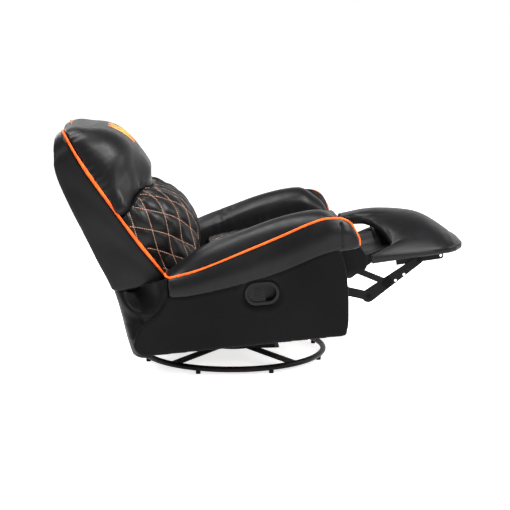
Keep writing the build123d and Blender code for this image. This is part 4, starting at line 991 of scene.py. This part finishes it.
footPad = relax(newPiece("footrestPad", bm), leaf["relax"])
_, _, up = local(footPad, padPlace)
inflate(footPad, leaf["pressure"], leaf["cap"], 1 - ease(up, *leaf["sewnTo"]))
divide(footPad)
settle(footPad, "footrest", "cushion_leather", ["footrest_pad", "footrest_tongue", "footrest_board"])
print("footrest pad made")

# Sheet under the footrest. Two short flaps hang beside it from the arm fronts, over the links,
# and its rear part faces the front board
sheet = dict(
    half=0.226, flare=0.006, rear=(0.44, 0.36), front=(0.656, 0.401), hollow=1.6, frontDrop=0.15,
    rise=0.8, slack=0.005, wave=0.0012, thick=0.0035,
    flapHeights=[0.299, 0.304, 0.326, 0.347, 0.373, 0.423, 0.462],
    flapFronts=[0.395, 0.431, 0.496, 0.508, 0.513, 0.482, 0.462],
    flapRear=0.38, flapSide=0.27, flapFold=0.004, flapIn=0.008,
    facingAt=0.396, facingLow=0.275, facingHigh=0.402, facingHalf=0.262,
)


def gridOf(bm, along, across):  # a new flat grid's points, each with its two shares from 0 to 1
    made = bmesh.ops.create_grid(bm, x_segments=along, y_segments=across, size=1.0)["verts"]
    return [(vert, (vert.co.x + 1) / 2, (vert.co.y + 1) / 2) for vert in made]


def between(low, high, share):
    return low + (high - low) * share


def sheetPoint(t, v):
    side = 2 * v - 1
    y = side * (sheet["half"] + sheet["flare"] * t)
    frontU = sheet["front"][0] - sheet["hollow"] * y * y
    frontW = sheet["front"][1] - sheet["frontDrop"] * y * y
    slack = math.sin(math.pi * t)
    wave = sheet["wave"] * math.sin(side * 9 + t * 3) - sheet["slack"]
    w = between(sheet["rear"][1], frontW, t ** sheet["rise"]) + wave * slack
    return bodyPoint(between(sheet["rear"][0], frontU, t), y, w)


def flapPoint(side, t, v):
    w = between(sheet["flapHeights"][0], sheet["flapHeights"][-1], v)
    front = float(np.interp(w, sheet["flapHeights"], sheet["flapFronts"]))
    fold = sheet["flapFold"] * math.sin(t * 5 + v * 4) * (1 - v) - sheet["flapIn"] * t ** 4
    return bodyPoint(between(sheet["flapRear"], front, t), side * (sheet["flapSide"] + fold), w)


bm = bmesh.new()
for vert, t, v in gridOf(bm, 40, 56):
    vert.co = sheetPoint(t, v)
for side in (-1, 1):
    for vert, t, v in gridOf(bm, 20, 26):
        vert.co = flapPoint(side, t, v)
for vert, t, v in gridOf(bm, 20, 10):
    w = between(sheet["facingLow"], sheet["facingHigh"], v)
    vert.co = bodyPoint(sheet["facingAt"], sheet["facingHalf"] * (2 * t - 1), w)
lowerSheet = thicken(newPiece("lowerSheet", bm), sheet["thick"])
settle(lowerSheet, None, "panel_leather", ["lower_sheet"])
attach(lowerSheet, "chassis")
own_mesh(lowerSheet)
print("lower sheet made")

# Skirt behind the body. Its front edges run up behind the side panels and past them to the arm pads;
# above, it goes in under the back
skirt = dict(
    thick=0.0045, hem=0.121, top=0.352, frontTop=0.402, half=0.43, halfTop=0.33,
    rearHem=-0.382, rearTop=-0.441, narrowFrom=0.3, narrowPower=1.1, legPower=1.3,
    straightTo=0.6, cornerTo=0.72, corner=0.075, cornerShare=0.8, aheadFrom=0.7,
    frontU=[-0.33, -0.348, -0.35, -0.33, -0.275, -0.243, -0.24, -0.243],
    frontW=[0.121, 0.15, 0.19, 0.232, 0.268, 0.31, 0.345, 0.402],
    folds=((0.008, 17, 0.6), (0.003, 31, 2.0)), sideFolds=0.3,  # depth, pitch and start of each wave
    pouch=(-0.335, 0.35), pouchSize=(0.072, 0.07), pouchDepth=0.038, pouchFrom=0.62, under=0.015,
    rim=0.02, rimWide=0.28, bead=0.005, beadAt=0.975, beadWide=0.018,
)


def skirtPoint(t, v):  # t runs round the back from one side to the other, v from hem to top
    side = abs(t)
    ahead = ease(side, skirt["aheadFrom"], 1.0)
    w = between(skirt["hem"], skirt["top"], v) + (skirt["frontTop"] - skirt["top"]) * v * ahead
    raised = max(0.0, (v - skirt["narrowFrom"]) / (1 - skirt["narrowFrom"]))
    narrow = (skirt["halfTop"] - skirt["half"]) * raised ** skirt["narrowPower"]
    front = float(np.interp(w, skirt["frontW"], skirt["frontU"]))
    rear = between(skirt["rearHem"], skirt["rearTop"], v)
    corner = min(skirt["corner"], (front - rear) * skirt["cornerShare"])
    straight = skirt["half"] + narrow - corner
    if side > skirt["cornerTo"]:  # the leg that goes ahead along the side
        k = (side - skirt["cornerTo"]) / (1 - skirt["cornerTo"])
        y = skirt["half"] + narrow * (1 - k) ** skirt["legPower"]
        u = rear + corner + (front - rear - corner) * k
    elif side > skirt["straightTo"]:
        k = (side - skirt["straightTo"]) / (skirt["cornerTo"] - skirt["straightTo"]) * math.pi / 2
        y, u = straight + corner * math.sin(k), rear + corner * (1 - math.cos(k))
    else:
        y, u = straight * side / skirt["straightTo"], rear
    folds = sum(depth * math.sin(t * pitch + start) for depth, pitch, start in skirt["folds"])
    u += folds * (1 - v) * (1 if side < skirt["aheadFrom"] else skirt["sideFolds"])
    if side > skirt["pouchFrom"]:
        above = w - skirt["pouch"][1]
        reach = math.hypot((u - skirt["pouch"][0]) / skirt["pouchSize"][0], above / skirt["pouchSize"][1])
        rim = skirt["rim"] * bell(reach - 1, skirt["rimWide"]) / (1 + math.exp(above / skirt["under"]))
        y += rim - skirt["pouchDepth"] * max(0.0, 1 - reach ** 2) * (1 - ahead)
    bead = skirt["bead"] * bell(side - skirt["beadAt"], skirt["beadWide"])
    return u, math.copysign(min(y, skirt["half"]) + bead, t), w


bm = bmesh.new()
for vert, t, v in gridOf(bm, 220, 70):
    vert.co = bodyPoint(*skirtPoint(2 * t - 1, v))
rearSkirt = thicken(newPiece("rearSkirt", bm), skirt["thick"])
settle(rearSkirt, None, "panel_leather", ["rear_skirt"])
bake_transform(rearSkirt)
print("skirt made")

# Rocker springs: wound wire in place of the plain tubes
spring = dict(radius=0.018, wire=0.003, turns=9, steps=20, around=8, travel=0.026)


def looseGroups(bm):  # the points of each part that isn't joined to another
    left, groups = set(bm.verts), []
    while left:
        group, stack = [], [left.pop()]
        while stack:
            vert = stack.pop()
            group.append(tuple(vert.co))
            joined = {edge.other_vert(vert) for edge in vert.link_edges} & left
            left -= joined
            stack.extend(joined)
        groups.append(np.array(sorted(group)))
    return sorted(groups, key=lambda g: (round(g[:, 0].mean(), 3), round(g[:, 1].mean(), 3)))


def windWire(bm, points):  # a coil along the longest way through the points
    centre = points.mean(0)
    _, _, axes = np.linalg.svd(points - centre, full_matrices=False)
    longest = axes[int(np.argmax([np.ptp((points - centre) @ axis) for axis in axes]))]
    longest = longest if longest[2] > 0 else -longest
    reach = np.ptp((points - centre) @ longest) - 2 * spring["wire"]
    side = np.cross(longest, (0, 1, 0))
    side /= np.linalg.norm(side)
    other = np.cross(longest, side)
    total = spring["turns"] * spring["steps"]
    rings = []
    for i in range(total + 1):
        angle = 2 * math.pi * i / spring["steps"]
        radial = side * math.cos(angle) + other * math.sin(angle)
        at = centre + longest * reach * (i / total - 0.5) + (spring["radius"] - spring["wire"]) * radial
        rings.append(roundRing(bm, at, spring["wire"], radial, longest, spring["around"]))
    skinRings(bm, rings)


tubes = nodeMesh("rocker_springs")
bm = bmesh.new()
for points in looseGroups(tubes):
    windWire(bm, points)
tubes.free()
bmesh.ops.recalc_face_normals(bm, faces=bm.faces)
coils = newPiece("rockerCoils", bm)
settle(coils, "turntable", "spring_steel", ["rocker_springs"])
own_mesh(coils)
print("springs made")

# Stitched mark on the head pillow: three plain lozenges
mark = dict(
    count=3, pitch=0.06, halfWide=0.02, halfTall=0.06, at=0.553, proud=0.0012,
    rayFrom=0.5, rayReach=0.9, rim=0.95, rimSunk=-0.3,
)
headTree = treeOf(headPillow)
bm = bmesh.new()
for number in range(mark["count"]):
    middle = (number - (mark["count"] - 1) / 2) * mark["pitch"]
    for vert, _, _ in gridOf(bm, 14, 24):
        across, along = vert.co.x, vert.co.y
        y = middle + (across + along) / 2 * mark["halfWide"]
        q = mark["at"] + (along - across) / 2 * mark["halfTall"]
        start = Vector(toWorld(mark["rayFrom"], y, q, backPlace))
        hit, normal, _, _ = headTree.ray_cast(start, -backAhead, mark["rayReach"])
        inside = max(abs(across), abs(along)) < mark["rim"]
        vert.co = hit + normal * mark["proud"] * (1 if inside else mark["rimSunk"])
bmesh.ops.recalc_face_normals(bm, faces=bm.faces)
settle(newPiece("stitchedLozenges", bm), "back", "orange_piping", material=satinThread)
print("mark made")
